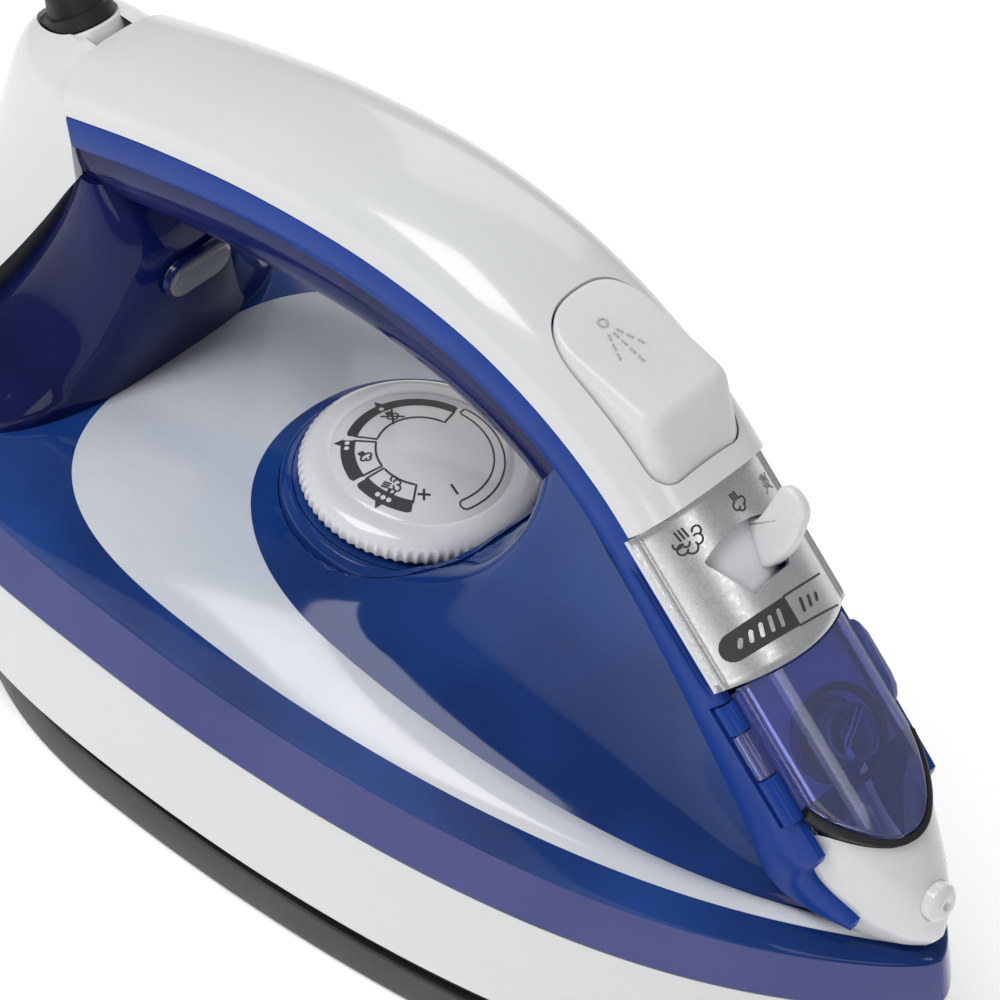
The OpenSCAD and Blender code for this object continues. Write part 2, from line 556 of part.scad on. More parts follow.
module pump_piston() color(white_abs) translate([pump_x, 0, 0]) {
  translate([0, 0, 112]) cylinder(r = 3, h = 31);
  translate([0, 0, 133]) cylinder(r = 6, h = 1.6);
}

module pump_cylinder() color(white_abs) difference() {
  union() {
    translate([pump_x, 0, 100]) cylinder(r = 5, h = 21);
    translate([pump_x, 0, 119.4]) cylinder(r = 7.5, h = 1.6);
    translate([pump_x - 2, -14.9, 119.4]) cube([4, 29.8, 1.6]);
  }
  translate([pump_x, 0, 110 - button_travel]) cylinder(r = 3.05, h = 30);
  translate([pump_x, 0, 90]) cylinder(r = 1.3, h = 30);
}

module pump_spring() color(steel) translate([pump_x, 0, 0]) for (k = [0:5])
  translate([0, 0, 121.7 + 2.1 * k]) rotate_extrude() translate([4.7, 0]) circle(0.6, $fn = 16);

module pump_dip_tube() color(clear_tint) difference() {
  translate([pump_x, 0, 46]) cylinder(r = 2.3, h = 54);
  translate([pump_x, 0, 40]) cylinder(r = 1.3, h = 80);
}

module spray_tube() color(clear_tint) stack_loft([
  for (p = [[38.4, -1.5, 104], [44, -6, 101.2], [52, -10.4, 97], [68, -11.4, 87], [84, -11.2, 76], [98, -8, 67.6], [110, -3, 61]])
    [for (i = [0:11]) [p.x, p.y + 1.6 * cos(30 * i), p.z + 1.8 * sin(30 * i)]]]);

// ================= dial =================
module dial_surround() color(tint_blue) {
  translate([dial_x, 0, 0]) rotate_extrude()
    polygon([[5.1, 70], [27.9, 64], [27.9, 72.6], [26.4, 75], [22.5, 75], [21.5, 73.4], [10, 73.4], [8, 75], [5.1, 75]]);
  intersection() {
    tank_top_solid();
    translate([dial_x, 0, 70]) difference() {
      cylinder(r = 27.9, h = 40);
      translate([0, 0, -1]) cylinder(r = 26.4, h = 50);
    }
  }
}

module dial() color(white_abs) translate([dial_x, 0, 0]) difference() {
  union() {
    rotate_extrude() polygon(concat([[0, 75.6], [dial_r - 1.4, 75.6], [dial_r - 0.6, 76.4], [dial_r - 0.6, 78.4],
      [dial_r - 1.2, 79.6], [dial_r - 2.6, 80.7], [dial_r - 4.6, 81.4]],
      [for (r = [18:-3:0]) [r, dial_top_z - r * r / 126]]));
    for (k = [0:39]) rotate(9 * k) translate([dial_r - 0.95, 0, 76]) cylinder(r = 0.95, h = 2.6, $fn = 16);
  }
  translate([0, 0, 70]) cylinder(r = 3, h = 11);
}

module dial_shaft() color(white_abs) translate([dial_x, 0, 0]) {
  translate([0, 0, 36.8]) cylinder(r = 3, h = 44);
  translate([0, 0, 70.5]) cylinder(r = 5.05, h = 4.8);
}

// ================= rear: lamp, terminals, cord outlet =================
module stadium(grow, x0, x1) for (side = [-1, 0, 1]) if (side == 0) translate([x0, -4.5, 88 - 4 - grow]) cube([x1 - x0, 9, 8 + 2 * grow]);
  else translate([x0, side * 4.5, 88]) rotate([0, 90, 0]) cylinder(r = 4 + grow, h = x1 - x0);

module indicator_lens() color(clear_tint) stadium(0, -83, -77.6);
module indicator_lamp() color([0.9, 0.5, 0.2]) {
  translate([-93, 0, 88]) rotate([0, 90, 0]) cylinder(r = 2.6, h = 9.9);
  translate([-100, 0, 88]) rotate([0, 90, 0]) cylinder(r = 1, h = 7.1);
}

module terminal_block() color(white_abs) difference() {
  translate([-115.4, -13, 56.6]) cube([12, 26, 12]);
  for (y = [-7, 0, 7]) translate([-109.4, y, 61]) cylinder(r = 2, h = 10);
}

module power_wires() color([0.5, 0.35, 0.2]) for (side = [-1, 1]) {
  rod_between([-113, side * 7, 56.6], [-113, side * 7, 26], 1.2);
  translate([-113, side * 7, 26]) sphere(1.5);
  rod_between([-113, side * 7, 26], [-77, side * 16, 26], 1.2);
}

module gland_at() translate([-113, 0, 126]) rotate([0, -35, 0]) children();
module swivel_socket() color(black) gland_at() difference() {
  union() {
    translate([0, 0, -2.6]) cylinder(r = 6.5, h = 7);
    translate([0, 0, -4.6]) cylinder(r = 8, h = 2);
  }
  translate([0, 0, -10]) cylinder(r = 5, h = 30);
}

module cord_swivel() color(black) gland_at() difference() {
  union() {
    translate([0, 0, -5.6]) cylinder(r = 4.95, h = 10.4);
    translate([0, 0, -7.4]) cylinder(r = 6.4, h = 1.8);
    translate([0, 0, 4.8]) cylinder(r = 7.6, h = 3);
    translate([0, 0, 7.8]) cylinder(r1 = 6, r2 = 4.8, h = 5);
  }
  translate([0, 0, -20]) cylinder(r = 3.5, h = 50);
}

soleplate();
heating_element();
chamber_gasket();
chamber_cover();
chamber_screws();
heat_shield();
skirt();
thermostat();
thermal_fuse();
tank_floor();
tank_shell();
tank_window();
tank_top();
rear_stem();
handle_grip();
handle_frame();
handle_cover();
rear_cover();
rear_cover_screws();
heel_pads();
nose_cover();
spray_nozzle();
control_panel();
lever_bracket();
lid_rim_seal();
lid_hinge_bracket();
lid_hinge_pin();
fill_funnel();
pump_cylinder();
pump_dip_tube();
spray_tube();
pump_spring();
valve_seat();
indicator_lens();
indicator_lamp();
terminal_block();
power_wires();
swivel_socket();
dial_surround();
dial();
dial_shaft();
spray_button();
pump_piston();
steam_lever();
valve_rod();
fill_lid();
lid_seal();
cord_swivel();
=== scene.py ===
import math
import random

import bmesh
import bpy
from mathutils import Matrix, Vector


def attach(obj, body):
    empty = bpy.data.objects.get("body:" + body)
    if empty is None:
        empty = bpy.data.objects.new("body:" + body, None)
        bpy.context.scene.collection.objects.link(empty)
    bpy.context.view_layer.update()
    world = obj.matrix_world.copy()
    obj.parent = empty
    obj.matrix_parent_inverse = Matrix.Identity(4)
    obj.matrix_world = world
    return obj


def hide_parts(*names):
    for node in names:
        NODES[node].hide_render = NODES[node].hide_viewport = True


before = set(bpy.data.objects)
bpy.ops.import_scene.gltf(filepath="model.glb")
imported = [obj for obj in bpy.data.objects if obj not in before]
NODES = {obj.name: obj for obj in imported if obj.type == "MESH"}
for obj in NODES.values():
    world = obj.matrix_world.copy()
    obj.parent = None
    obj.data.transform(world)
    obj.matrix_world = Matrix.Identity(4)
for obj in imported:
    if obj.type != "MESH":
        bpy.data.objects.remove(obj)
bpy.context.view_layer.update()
MM = 0.001
random.seed(7)

# ------------------------------------------------------------------ materials
def mat(name, color, rough=0.4, metal=0.0, trans=0.0, ior=1.45, alpha=1.0, coat=0.0, sss=0.0, emit=None,
        spec=0.5):
    m = bpy.data.materials.new(name)
    m.use_nodes = True
    b = m.node_tree.nodes["Principled BSDF"]
    b.inputs["Base Color"].default_value = (*color, 1)
    b.inputs["Roughness"].default_value = rough
    b.inputs["Metallic"].default_value = metal
    b.inputs["Transmission Weight"].default_value = trans
    b.inputs["IOR"].default_value = ior
    b.inputs["Alpha"].default_value = alpha
    b.inputs["Coat Weight"].default_value = coat
    b.inputs["Coat Roughness"].default_value = 0.06
    b.inputs["Specular IOR Level"].default_value = spec
    if sss:
        b.inputs["Subsurface Weight"].default_value = sss
        b.inputs["Subsurface Radius"].default_value = (1.0, 0.9, 0.8)
        b.inputs["Subsurface Scale"].default_value = 0.004
    if emit:
        b.inputs["Emission Color"].default_value = (*emit[0], 1)
        b.inputs["Emission Strength"].default_value = emit[1]
    return m


def noise(m, scale, detail=3.0, rough=0.5, stretch=(1, 1, 1)):
    """Noise in the object's own coordinates."""
    nt = m.node_tree
    co = nt.nodes.new("ShaderNodeTexCoord")
    mp = nt.nodes.new("ShaderNodeMapping")
    mp.inputs["Scale"].default_value = stretch
    n = nt.nodes.new("ShaderNodeTexNoise")
    n.inputs["Scale"].default_value = scale
    n.inputs["Detail"].default_value = detail
    n.inputs["Roughness"].default_value = rough
    nt.links.new(co.outputs["Object"], mp.inputs["Vector"])
    nt.links.new(mp.outputs["Vector"], n.inputs["Vector"])
    return n


def vary_color(m, a, b, scale, lo=0.35, hi=0.65, detail=3.0, stretch=(1, 1, 1)):
    n = noise(m, scale, detail, 0.5, stretch)
    r = m.node_tree.nodes.new("ShaderNodeValToRGB")
    r.color_ramp.elements[0].position = lo
    r.color_ramp.elements[0].color = (*a, 1)
    r.color_ramp.elements[1].position = hi
    r.color_ramp.elements[1].color = (*b, 1)
    m.node_tree.links.new(n.outputs["Fac"], r.inputs["Fac"])
    m.node_tree.links.new(r.outputs["Color"], m.node_tree.nodes["Principled BSDF"].inputs["Base Color"])


def vary_rough(m, a, b, scale, stretch=(1, 1, 1)):
    n = noise(m, scale, 4.0, 0.6, stretch)
    r = m.node_tree.nodes.new("ShaderNodeMapRange")
    r.inputs["From Min"].default_value = 0.3
    r.inputs["From Max"].default_value = 0.7
    r.inputs["To Min"].default_value = a
    r.inputs["To Max"].default_value = b
    m.node_tree.links.new(n.outputs["Fac"], r.inputs["Value"])
    m.node_tree.links.new(r.outputs["Result"], m.node_tree.nodes["Principled BSDF"].inputs["Roughness"])


def bump(m, scale, strength, dist=0.0001, detail=2.0, stretch=(1, 1, 1)):
    n = noise(m, scale, detail, 0.5, stretch)
    b = m.node_tree.nodes.new("ShaderNodeBump")
    b.inputs["Strength"].default_value = strength
    b.inputs["Distance"].default_value = dist
    m.node_tree.links.new(n.outputs["Fac"], b.inputs["Height"])
    m.node_tree.links.new(b.outputs["Normal"], m.node_tree.nodes["Principled BSDF"].inputs["Normal"])


def surface(name, color, rough=0.4, tint=None, gloss=None, grain=None, **kinds):
    """A material whose colour, roughness and fine relief vary by noise."""
    m = mat(name, color, rough, **kinds)
    if tint:
        vary_color(m, *tint)
    if gloss:
        vary_rough(m, *gloss)
    if grain:
        bump(m, *grain)
    return m


WHITE = surface("white_abs", (0.72, 0.735, 0.74), 0.2, coat=0.35,
    tint=((0.70, 0.72, 0.725), (0.745, 0.755, 0.755), 9.0), gloss=(0.14, 0.24, 40.0), grain=(900.0,
        0.05, 0.00004))
DIAL_WHITE = surface("dial_white", (0.76, 0.765, 0.775), 0.17, coat=0.3,
    tint=((0.735, 0.74, 0.755), (0.77, 0.775, 0.785), 14.0), gloss=(0.13, 0.22, 60.0), grain=(1200.0,
        0.04, 0.00003))
BLUE = surface("blue_abs", (0.011, 0.05, 0.29), 0.2, spec=0.16,
    tint=((0.0095, 0.044, 0.265), (0.0135, 0.056, 0.315), 14.0), gloss=(0.15, 0.26,
        50.0), grain=(1100.0, 0.04, 0.00003))
TANK_BLUE = surface("tank_blue", (0.014, 0.075, 0.34), 0.07, trans=0.4, ior=1.42, spec=0.24,
    tint=((0.008, 0.045, 0.235), (0.020, 0.09, 0.39), 22.0, 0.38, 0.66, 2.0), gloss=(0.04, 0.10,
        30.0), grain=(60.0, 0.06, 0.0002))
LILAC = surface("tank_lilac", (0.085, 0.10, 0.33), 0.12, trans=0.25, ior=1.42, spec=0.35,
    tint=((0.07, 0.085, 0.285), (0.10, 0.115, 0.34), 18.0), gloss=(0.09, 0.16, 40.0), grain=(80.0, 0.05,
        0.0001))
GRIP = surface("grip_navy", (0.010, 0.014, 0.10), 0.05, trans=0.3, ior=1.38, spec=0.12,
    tint=((0.006, 0.008, 0.055), (0.018, 0.026, 0.15), 26.0, 0.36, 0.64, 2.0), gloss=(0.06, 0.14,
        40.0), grain=(70.0, 0.05, 0.0002))
STEM = surface("stem_navy", (0.006, 0.012, 0.10), 0.06, trans=0.4, ior=1.4, spec=0.2,
    tint=((0.004, 0.008, 0.065), (0.009, 0.017, 0.14), 24.0, 0.36, 0.64, 2.0), gloss=(0.04, 0.09,
        40.0), grain=(60.0, 0.05, 0.0002))
WINDOW = surface("window_clear", (0.80, 0.83, 0.88), 0.16, trans=0.2, ior=1.45,
    tint=((0.62, 0.68, 0.78), (0.86, 0.87, 0.90), 16.0, 0.3, 0.7, 6.0, (0.6, 1.8, 1.0)), gloss=(0.08,
        0.26, 22.0), grain=(45.0, 0.14, 0.0004))
LID = surface("lid_blue", (0.45, 0.50, 0.95), 0.03, trans=0.92, ior=1.45,
    tint=((0.41, 0.46, 0.93), (0.49, 0.54, 0.97), 30.0), gloss=(0.02, 0.05, 60.0), grain=(50.0, 0.04,
        0.0001))
CLEAR = surface("clear_plastic", (0.85, 0.88, 0.92), 0.06, trans=0.85, ior=1.46,
    gloss=(0.04, 0.10, 60.0), grain=(1600.0, 0.15, 0.00006, 2.0, (1, 1, 0.2)))
SILVER = surface("silver_flake", (0.60, 0.61, 0.62), 0.3, metal=0.8,
    tint=((0.56, 0.57, 0.585), (0.68, 0.69, 0.70), 3600.0, 0.3, 0.7, 1.0), gloss=(0.24, 0.34,
        900.0), grain=(3600.0, 0.06, 0.00004))
MILK = surface("milky_abs", (0.74, 0.745, 0.755), 0.28, sss=0.5,
    tint=((0.72, 0.72, 0.725), (0.76, 0.765, 0.785), 24.0), gloss=(0.24, 0.34, 60.0), grain=(1000.0,
        0.05, 0.00003))
INK = surface("print_grey", (0.045, 0.045, 0.05), 0.5, gloss=(0.42, 0.6, 300.0))
FAINT = surface("print_worn", (0.30, 0.30, 0.31), 0.5, metal=0.3,
    tint=((0.22, 0.22, 0.23), (0.42, 0.42, 0.43), 900.0), gloss=(0.42, 0.6, 300.0))
RUBBER = surface("rubber_black", (0.010, 0.010, 0.012), 0.45,
    gloss=(0.38, 0.55, 200.0), grain=(1500.0, 0.1, 0.00004))
SOLE = surface("sole_grey", (0.055, 0.058, 0.06), 0.38, metal=0.35,
    tint=((0.048, 0.05, 0.053), (0.065, 0.068, 0.07), 60.0), gloss=(0.32, 0.46, 120.0), grain=(1800.0,
        0.12, 0.00005))
# the shoe's black, darker than the sole, is partly painted shade under the skirt's overhang
SHOE_BLACK_AND_SHADE = surface("shoe_black_and_painted_shade", (0.016, 0.016, 0.018), 0.5,
    gloss=(0.42, 0.6, 150.0), grain=(1400.0, 0.15, 0.00005))
STEEL = surface("steel", (0.52, 0.52, 0.54), 0.3, metal=1.0,
    gloss=(0.24, 0.4, 300.0), grain=(500.0, 0.1, 0.00004, 2.0, (1, 1, 6)))
PIN = surface("pin_dark", (0.12, 0.12, 0.16), 0.12, metal=0.8, gloss=(0.08, 0.2, 300.0))
RED = surface("silicone_red", (0.42, 0.06, 0.03), 0.5, gloss=(0.42, 0.6, 200.0))
FLOOR_LILAC = surface("tank_floor_milk", (0.34, 0.38, 0.52), 0.4,
    tint=((0.28, 0.32, 0.47), (0.44, 0.47, 0.58), 20.0))
AMBER = surface("lamp_amber", (0.6, 0.42, 0.3), 0.2, trans=0.5, gloss=(0.15, 0.25, 100.0))
WIRE = surface("wire_brown", (0.20, 0.10, 0.045), 0.45, gloss=(0.4, 0.55, 300.0))
DROPLET = surface("water", (0.95, 0.97, 1.0), 0.0, trans=1.0, ior=1.33)
TRAY = surface("tray_blue", (0.26, 0.33, 0.66), 0.25,
    tint=((0.22, 0.29, 0.61), (0.30, 0.37, 0.71), 25.0), gloss=(0.2, 0.3, 60.0))
MARK = surface("mark_pale", (0.30, 0.36, 0.62), 0.35, gloss=(0.3, 0.42, 200.0))

CAD_MATS = {
    "soleplate": SOLE, "heating_element": STEEL, "chamber_gasket": RED, "chamber_cover": STEEL,
    "chamber_screws": STEEL, "heat_shield": SHOE_BLACK_AND_SHADE, "skirt": WHITE, "thermostat": STEEL,
    "thermal_fuse": WHITE, "tank_floor": FLOOR_LILAC, "tank_shell": TANK_BLUE,
    "tank_window": WINDOW, "tank_top": TANK_BLUE, "rear_stem": STEM, "handle_grip": GRIP,
    "handle_frame": BLUE, "handle_cover": WHITE, "rear_cover": WHITE, "rear_cover_screws": STEEL,
    "heel_pads": RUBBER, "nose_cover": WHITE, "spray_nozzle": WHITE, "control_panel": SILVER,
    "lever_bracket": WHITE, "lid_rim_seal": RUBBER, "lid_hinge_bracket": BLUE, "lid_hinge_pin": PIN,
    "fill_funnel": TANK_BLUE, "pump_cylinder": WHITE, "pump_dip_tube": CLEAR, "spray_tube": CLEAR,
    "pump_spring": STEEL, "valve_seat": RUBBER, "indicator_lens": CLEAR, "indicator_lamp": AMBER,
    "terminal_block": WHITE, "power_wires": WIRE, "swivel_socket": RUBBER,
    "dial_surround": TANK_BLUE, "dial": DIAL_WHITE, "dial_shaft": WHITE, "spray_button": MILK,
    "pump_piston": WHITE, "steam_lever": MILK, "valve_rod": STEEL, "fill_lid": LID,
    "lid_seal": RUBBER, "cord_swivel": RUBBER,
}
for n, o in NODES.items():
    o.data.materials.clear()
    o.data.materials.append(CAD_MATS[n])
    o.data.shade_smooth()
    o.data.set_sharp_from_angle(angle=math.radians(28))


# ------------------------------------------------------------------ mesh helpers (mm in, metres out)
def build(name, verts, faces, material, body="housing", rep=(), sharp=35, slot=None):
    me = bpy.data.meshes.new(name)
    me.from_pydata([tuple(c * MM for c in v) for v in verts], [], faces)
    bm = bmesh.new()
    bm.from_mesh(me)
    bmesh.ops.remove_doubles(bm, verts=bm.verts, dist=2e-6)
    bmesh.ops.recalc_face_normals(bm, faces=bm.faces)
    bm.to_mesh(me)
    bm.free()
    me.validate()
    me.shade_smooth()
    me.set_sharp_from_angle(angle=math.radians(sharp))
    me.materials.append(material)
    o = bpy.data.objects.new(name, me)
    bpy.context.scene.collection.objects.link(o)
    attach(o, body)
    if rep:
        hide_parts(*rep)
    return o


def grid(levels, closed_u=True, closed_v=False):
    n, m = len(levels[0]), len(levels)
    faces = []
    for k in range(m if closed_v else m - 1):
        for i in range(n if closed_u else n - 1):
            a, b = k * n + i, k * n + (i + 1) % n
            c, d = ((k + 1) % m) * n + (i + 1) % n, ((k + 1) % m) * n + i
            faces.append((a, b, c, d))
    return [p for l in levels for p in l], faces


def ring_loft(name, levels, *a, **k):
    v, f = grid(levels, True, True)
    return build(name, v, f, *a, **k)


def stack_loft(name, levels, *a, **k):
    v, f = grid(levels, True, False)
    n = len(levels[0])
    f.append(tuple(range(n)))
    f.append(tuple(range(len(v) - n, len(v))))
    return build(name, v, f, *a, **k)


def cut(o, verts, faces):
    me = bpy.data.meshes.new("cutter")
    me.from_pydata([tuple(c * MM for c in v) for v in verts], [], faces)
    bm = bmesh.new()
    bm.from_mesh(me)
    bmesh.ops.recalc_face_normals(bm, faces=bm.faces)
    bm.to_mesh(me)
    bm.free()
    c = bpy.data.objects.new("cutter", me)
    bpy.context.scene.collection.objects.link(c)
    md = o.modifiers.new("cut", "BOOLEAN")
    md.operation, md.solver, md.object = "DIFFERENCE", "EXACT", c
    dg = bpy.context.evaluated_depsgraph_get()
    new = bpy.data.meshes.new_from_object(o.evaluated_get(dg))
    o.modifiers.clear()
    o.data = new
    bpy.data.objects.remove(c)
    new.shade_smooth()
    new.set_sharp_from_angle(angle=math.radians(30))
    return o


def prism(poly, z0, z1, place=lambda p: p):
    n = len(poly)
    v = [place((x, y, z0)) for x, y in poly] + [place((x, y, z1)) for x, y in poly]
    f = [(i, (i + 1) % n, n + (i + 1) % n, n + i) for i in range(n)]
    return v, f + [tuple(range(n)), tuple(range(n, 2 * n))]


def revolve(name, profile, *a, centre=(0, 0, 0), n=160, place=None, **k):
    """A closed profile of (radius, height) points turned round an axis."""
    place = place or (lambda p: (centre[0] + p[0], centre[1] + p[1], centre[2] + p[2]))
    turns = [2 * math.pi * i / n for i in range(n)]
    levels = [[place((r * math.cos(t), r * math.sin(t), z)) for t in turns] for r, z in profile]
    v, f = grid(levels, True, True)
    return build(name, v, f, *a, **k)


def rounded(profile, r=0.4, n=4):
    """A closed profile of points with every corner rounded."""
    out, m = [], len(profile)
    for i in range(m):
        p0, p1, p2 = (Vector(profile[(i + q) % m]) for q in (-1, 0, 1))
        a, b = p0 - p1, p2 - p1
        d = min(r, a.length * 0.45, b.length * 0.45)
        if p1.x < 1e-6 or d < 1e-4:
            out.append(tuple(p1))
            continue
        s, e = p1 + a.normalized() * d, p1 + b.normalized() * d
        for k in range(n + 1):
            t = k / n
            q = s * (1 - t) ** 2 + p1 * 2 * t * (1 - t) + e * t * t
            out.append(tuple(q))
    return out


def sgn(v):
    return -1.0 if v < 0 else 1.0


def sp(v, n):
    """Signed power: the law of a superellipse with exponent n."""
    return sgn(v) * abs(v) ** (2.0 / n)


def cosd(a):
    return math.cos(math.radians(a))


def sind(a):
    return math.sin(math.radians(a))


def polar(r, a, cx=0, cy=0):
    return cx + r * cosd(a), cy + r * sind(a)


def cubic(rows, k, f):
    """Catmull-Rom point between four neighbouring rows, the second of which is row k."""
    a, b, c, d = (rows(k + q) for q in (-1, 0, 1, 2))
    return [0.5 * (2 * b[i] + (c[i] - a[i]) * f + (2 * a[i] - 5 * b[i] + 4 * c[i] - d[i]) * f * f
                   + (3 * b[i] - a[i] - 3 * c[i] + d[i]) * f ** 3) for i in range(len(b))]


def clamped(rows):
    return lambda j: rows[min(max(j, 0), len(rows) - 1)]


def lerp(a, b, t):
    return tuple(x + (y - x) * t for x, y in zip(a, b))


# ------------------------------------------------------------------ body outlines
MID_X, N = -41.5, 256
TIP_X = 133.0


def boat(w, tip, rear, nose=0.6, tail=3.6, mid=MID_X, n=N):
    out = []
    for i in range(n):
        a = 2 * math.pi * i / n
        c, s = math.cos(a), math.sin(a)
        if c >= 0:
            out.append((mid + (tip - mid) * c, w * sgn(s) * max(0,
                1 - c * c) ** nose * (1 - 0.3 * c ** 8)))
        else:
            out.append((mid - (mid - rear) * sp(-c, tail), w * sp(s, tail)))
    return out


def at_z(o, z):
    return [(p[0], p[1], z) for p in o]


def low(r, d):
    return [(p[0], p[1], p[2] - d) for p in r]


def inset(r, d):
    out = []
    for p in r:
        q = (p[0] - MID_X, p[1])
        l = max(math.hypot(*q), 1)
        out.append((p[0] - q[0] * d / l, p[1] - q[1] * d / l, p[2]))
    return out


def mix(a, b, t):
    return [lerp(p, q, t) for p, q in zip(a, b)]


SKIRT_LOW = at_z(boat(59.2, 128, -122.5, tail=2.6), 13.2)
SKIRT_MID = at_z(boat(59.7, 128.6, -124.6, tail=3.0), 26)
SKIRT_TOP = at_z(boat(59.8, 128.5, -125.4), 41)
SHOULDER = at_z(boat(55.5, 126, -124.4), 51.5)
WIN_OUT = [(x, y, 60 - 0.0005 * max(0, x) ** 2) for x, y in boat(52, 122, -84, 0.75, 3, -22)]
WIN_IN = [(x, y, 66.2 - 0.11 * x) for x, y in boat(39, 118, -46.5, 0.75, 2.2, -1)]

# skirt
def skirt_at(t):
    a, b = mix(SKIRT_LOW, SKIRT_MID, t), mix(SKIRT_MID, SKIRT_TOP, t)
    r = mix(a, b, t)
    return [(p[0], p[1], 13.2 + 27.8 * t) for p in r]


lowest, highest = skirt_at(0), skirt_at(1.0)
outer = [inset(lowest, 0.9), inset(low(lowest, -0.2), 0.3), skirt_at(0.02)]
outer += [skirt_at(t / 14) for t in range(1, 14)]
outer += [skirt_at(0.985), inset(highest, 0.25), inset(highest, 0.8)]
ring_loft("white_skirt", outer + [inset(highest, 2.4), inset(lowest, 2.4)], WHITE, rep=("skirt",))

# sole and its shoe; the shoe's black is partly painted shade, darker where the skirt overhangs it
sole = boat(57.6, TIP_X, -112.5, tail=2.2)
lv = []
for z, d in ((0, 1.3), (0.15, 0.7), (0.6, 0.2), (1.3, 0.0), (7.8, 0.0), (8.6, 0.25), (9.0, 0.8)):
    lv.append(inset(at_z(sole, z), d))
o = stack_loft("sole_plate", lv, SOLE, rep=("soleplate",), sharp=30)
# steam vents: two rows along the edge and two down the middle
vents = [(104 - 17 * i, s * (9 + 3.9 * i - 0.11 * i * i)) for s in (-1, 1) for i in range(9)]
vents += [(96 - 12 * i, s * (4 + 2.5 * i)) for s in (-1, 1) for i in range(4)]
hole_verts, hole_faces = [], []
for x, y in vents:
    v, f = prism([polar(1.3, a, x, y) for a in range(0, 360, 20)], -2, 6)
    hole_faces += [tuple(i + len(hole_verts) for i in q) for q in f]
    hole_verts += v
cut(o, hole_verts, hole_faces)
shoe_low, shoe_high = boat(56.2, 126, -113, tail=2.3), boat(56.8, 127, -115, tail=2.4)
ring_loft("shoe_ring", [
    inset(at_z(shoe_low, 9.3), 0.5), at_z(boat(56.4, 126.2, -113.4, tail=2.3), 9.8),
    at_z(shoe_high, 12.6), inset(at_z(shoe_high, 13.0), 0.4),
    at_z(boat(47, 118, -100, tail=2.4), 13), at_z(boat(47, 118, -99, tail=2.4),
        9.3)], SHOE_BLACK_AND_SHADE, rep=("heat_shield",))

# tank wall, shoulder, window
wall_top = low(SHOULDER, 0.35)
w0 = low(SKIRT_TOP, -0.2)
wall_low = low(inset(w0, 0.1), -0.3)
lv = [inset(w0, 0.5), wall_low] + [mix(wall_low, wall_top, t / 8) for t in range(1, 8)] + [wall_top]
ring_loft("tank_wall", lv + [inset(low(SHOULDER, 0.9), 2.6), inset(w0, 2.4)], LILAC,
    rep=("tank_shell",), sharp=50)
lv = [low(SHOULDER, 0.3), low(inset(SHOULDER, 0.25), -0.15)]
for k in range(1, 13):
    t = k / 12
    r = mix(SHOULDER, WIN_OUT, t)
    lv.append([(p[0], p[1], p[2] + 1.3 * 4 * t * (1 - t) * 0.5) for p in r])
ring_loft("tank_shoulder", lv + [low(WIN_OUT, 2), inset(low(SHOULDER, 0.9), 2.6)], TANK_BLUE, sharp=50,
    slot="blue_clear")


def window_at(v, lift=2.4):
    """The window's ring at share v of the way in, along arcs raised by lift."""
    out = []
    for p, q in zip(WIN_OUT, WIN_IN):
        c = ((p[0] + q[0]) / 2, (p[1] + q[1]) / 2, (p[2] + q[2]) / 2 + lift)
        out.append(tuple(p[k] * (1 - v) ** 2 + 2 * c[k] * v * (1 - v) + q[k] * v * v for k in range(3)))
    return out


lv = [window_at(k / 20) for k in range(21)]
ring_loft("tank_window_lens", lv + [low(l, 2) for l in reversed(lv)], WINDOW, rep=("tank_window",),
    sharp=50)

# ------------------------------------------------------------------ handle spine
SPINE = [(-100, 116.6, 7.5, 18, 15.5, 17), (-76, 124.6, 7.7, 18.6, 16.5, 17.3),
    (-48, 131.6, 7.8, 19.4, 17, 17.7),
         (-18, 135, 8, 20, 17, 18), (10, 132.2, 8.3, 19.4, 17, 18), (36, 121.5, 8.3, 18.2, 16, 18), (60,
             100.5, 9.2, 17.6, 14, 18),
         (84, 75.5, 14, 17, 12, 18), (96, 61, 15, 17, 10, 17.2), (112, 58, 3, 17, 8, 13)]
SLOPE = 38.6
SO = (50.5, 0, 120.2)
SN, SD = (sind(SLOPE), 0, cosd(SLOPE)), (cosd(SLOPE), 0, -sind(SLOPE))


def on_slope(s, y, h):
    return (SO[0] + s * SD[0] + h * SN[0], y, SO[2] + s * SD[2] + h * SN[2])


def sloped(p):
    return on_slope(*p)


def blend4(t):
    """The spine's row at parameter t."""
    k = min(int(math.floor(t)), len(SPINE) - 2)
    return cubic(clamped(SPINE), k, t - k)


def fall(t):
    a, b = blend4(max(t - 0.01, 0)), blend4(min(t + 0.01, 9))
    return math.degrees(math.atan2(b[1] - a[1], b[0] - a[0]))


def to_slope(t):
    v, a = blend4(t), fall(t)
    return ((SO[0] - v[0]) * SN[0] + (SO[2] - v[1]) * SN[2]) / (-sind(a) * SN[0] + cosd(a) * SN[2])


def band_h(t):
    if t < 5.5:
        return blend4(t)[2]
    if t < 7.5:
        return to_slope(t)
    f = (t - 7.5) / 1.5
    return to_slope(7.5) * (1 - f) + 3 * f


def on_spine(t, y, h):
    v, a = blend4(t), fall(t)
    return (v[0] - h * sind(a), y, v[1] + h * cosd(a))


def cover_arc(t, off, n=40):
    v, hb = blend4(t), band_h(t)
    w, d = v[5] - off, v[3] - hb - off
    turns = [180 * k / n for k in range(n + 1)]
    return [on_spine(t, -w * sp(cosd(a), 2.6), hb + d * sp(sind(a), 2.6)) for a in turns]


def arc_loft(name, levels, *a, **k):
    """Levels that are an outer arc and the inner arc turned back: a curved wall with strip ends."""
    v, f = grid(levels, True, False)
    n, m = len(levels[0]), len(levels)
    for i in range(n // 2 - 1):
        j = n - 1 - i
        f.append((i, i + 1, j - 1, j))
        q = (m - 1) * n
        f.append((q + i, q + j, q + j - 1, q + i + 1))
    return build(name, v, f, *a, **k)


def steps(a, b, n):
    return [a + (b - a) * i / n for i in range(n + 1)]


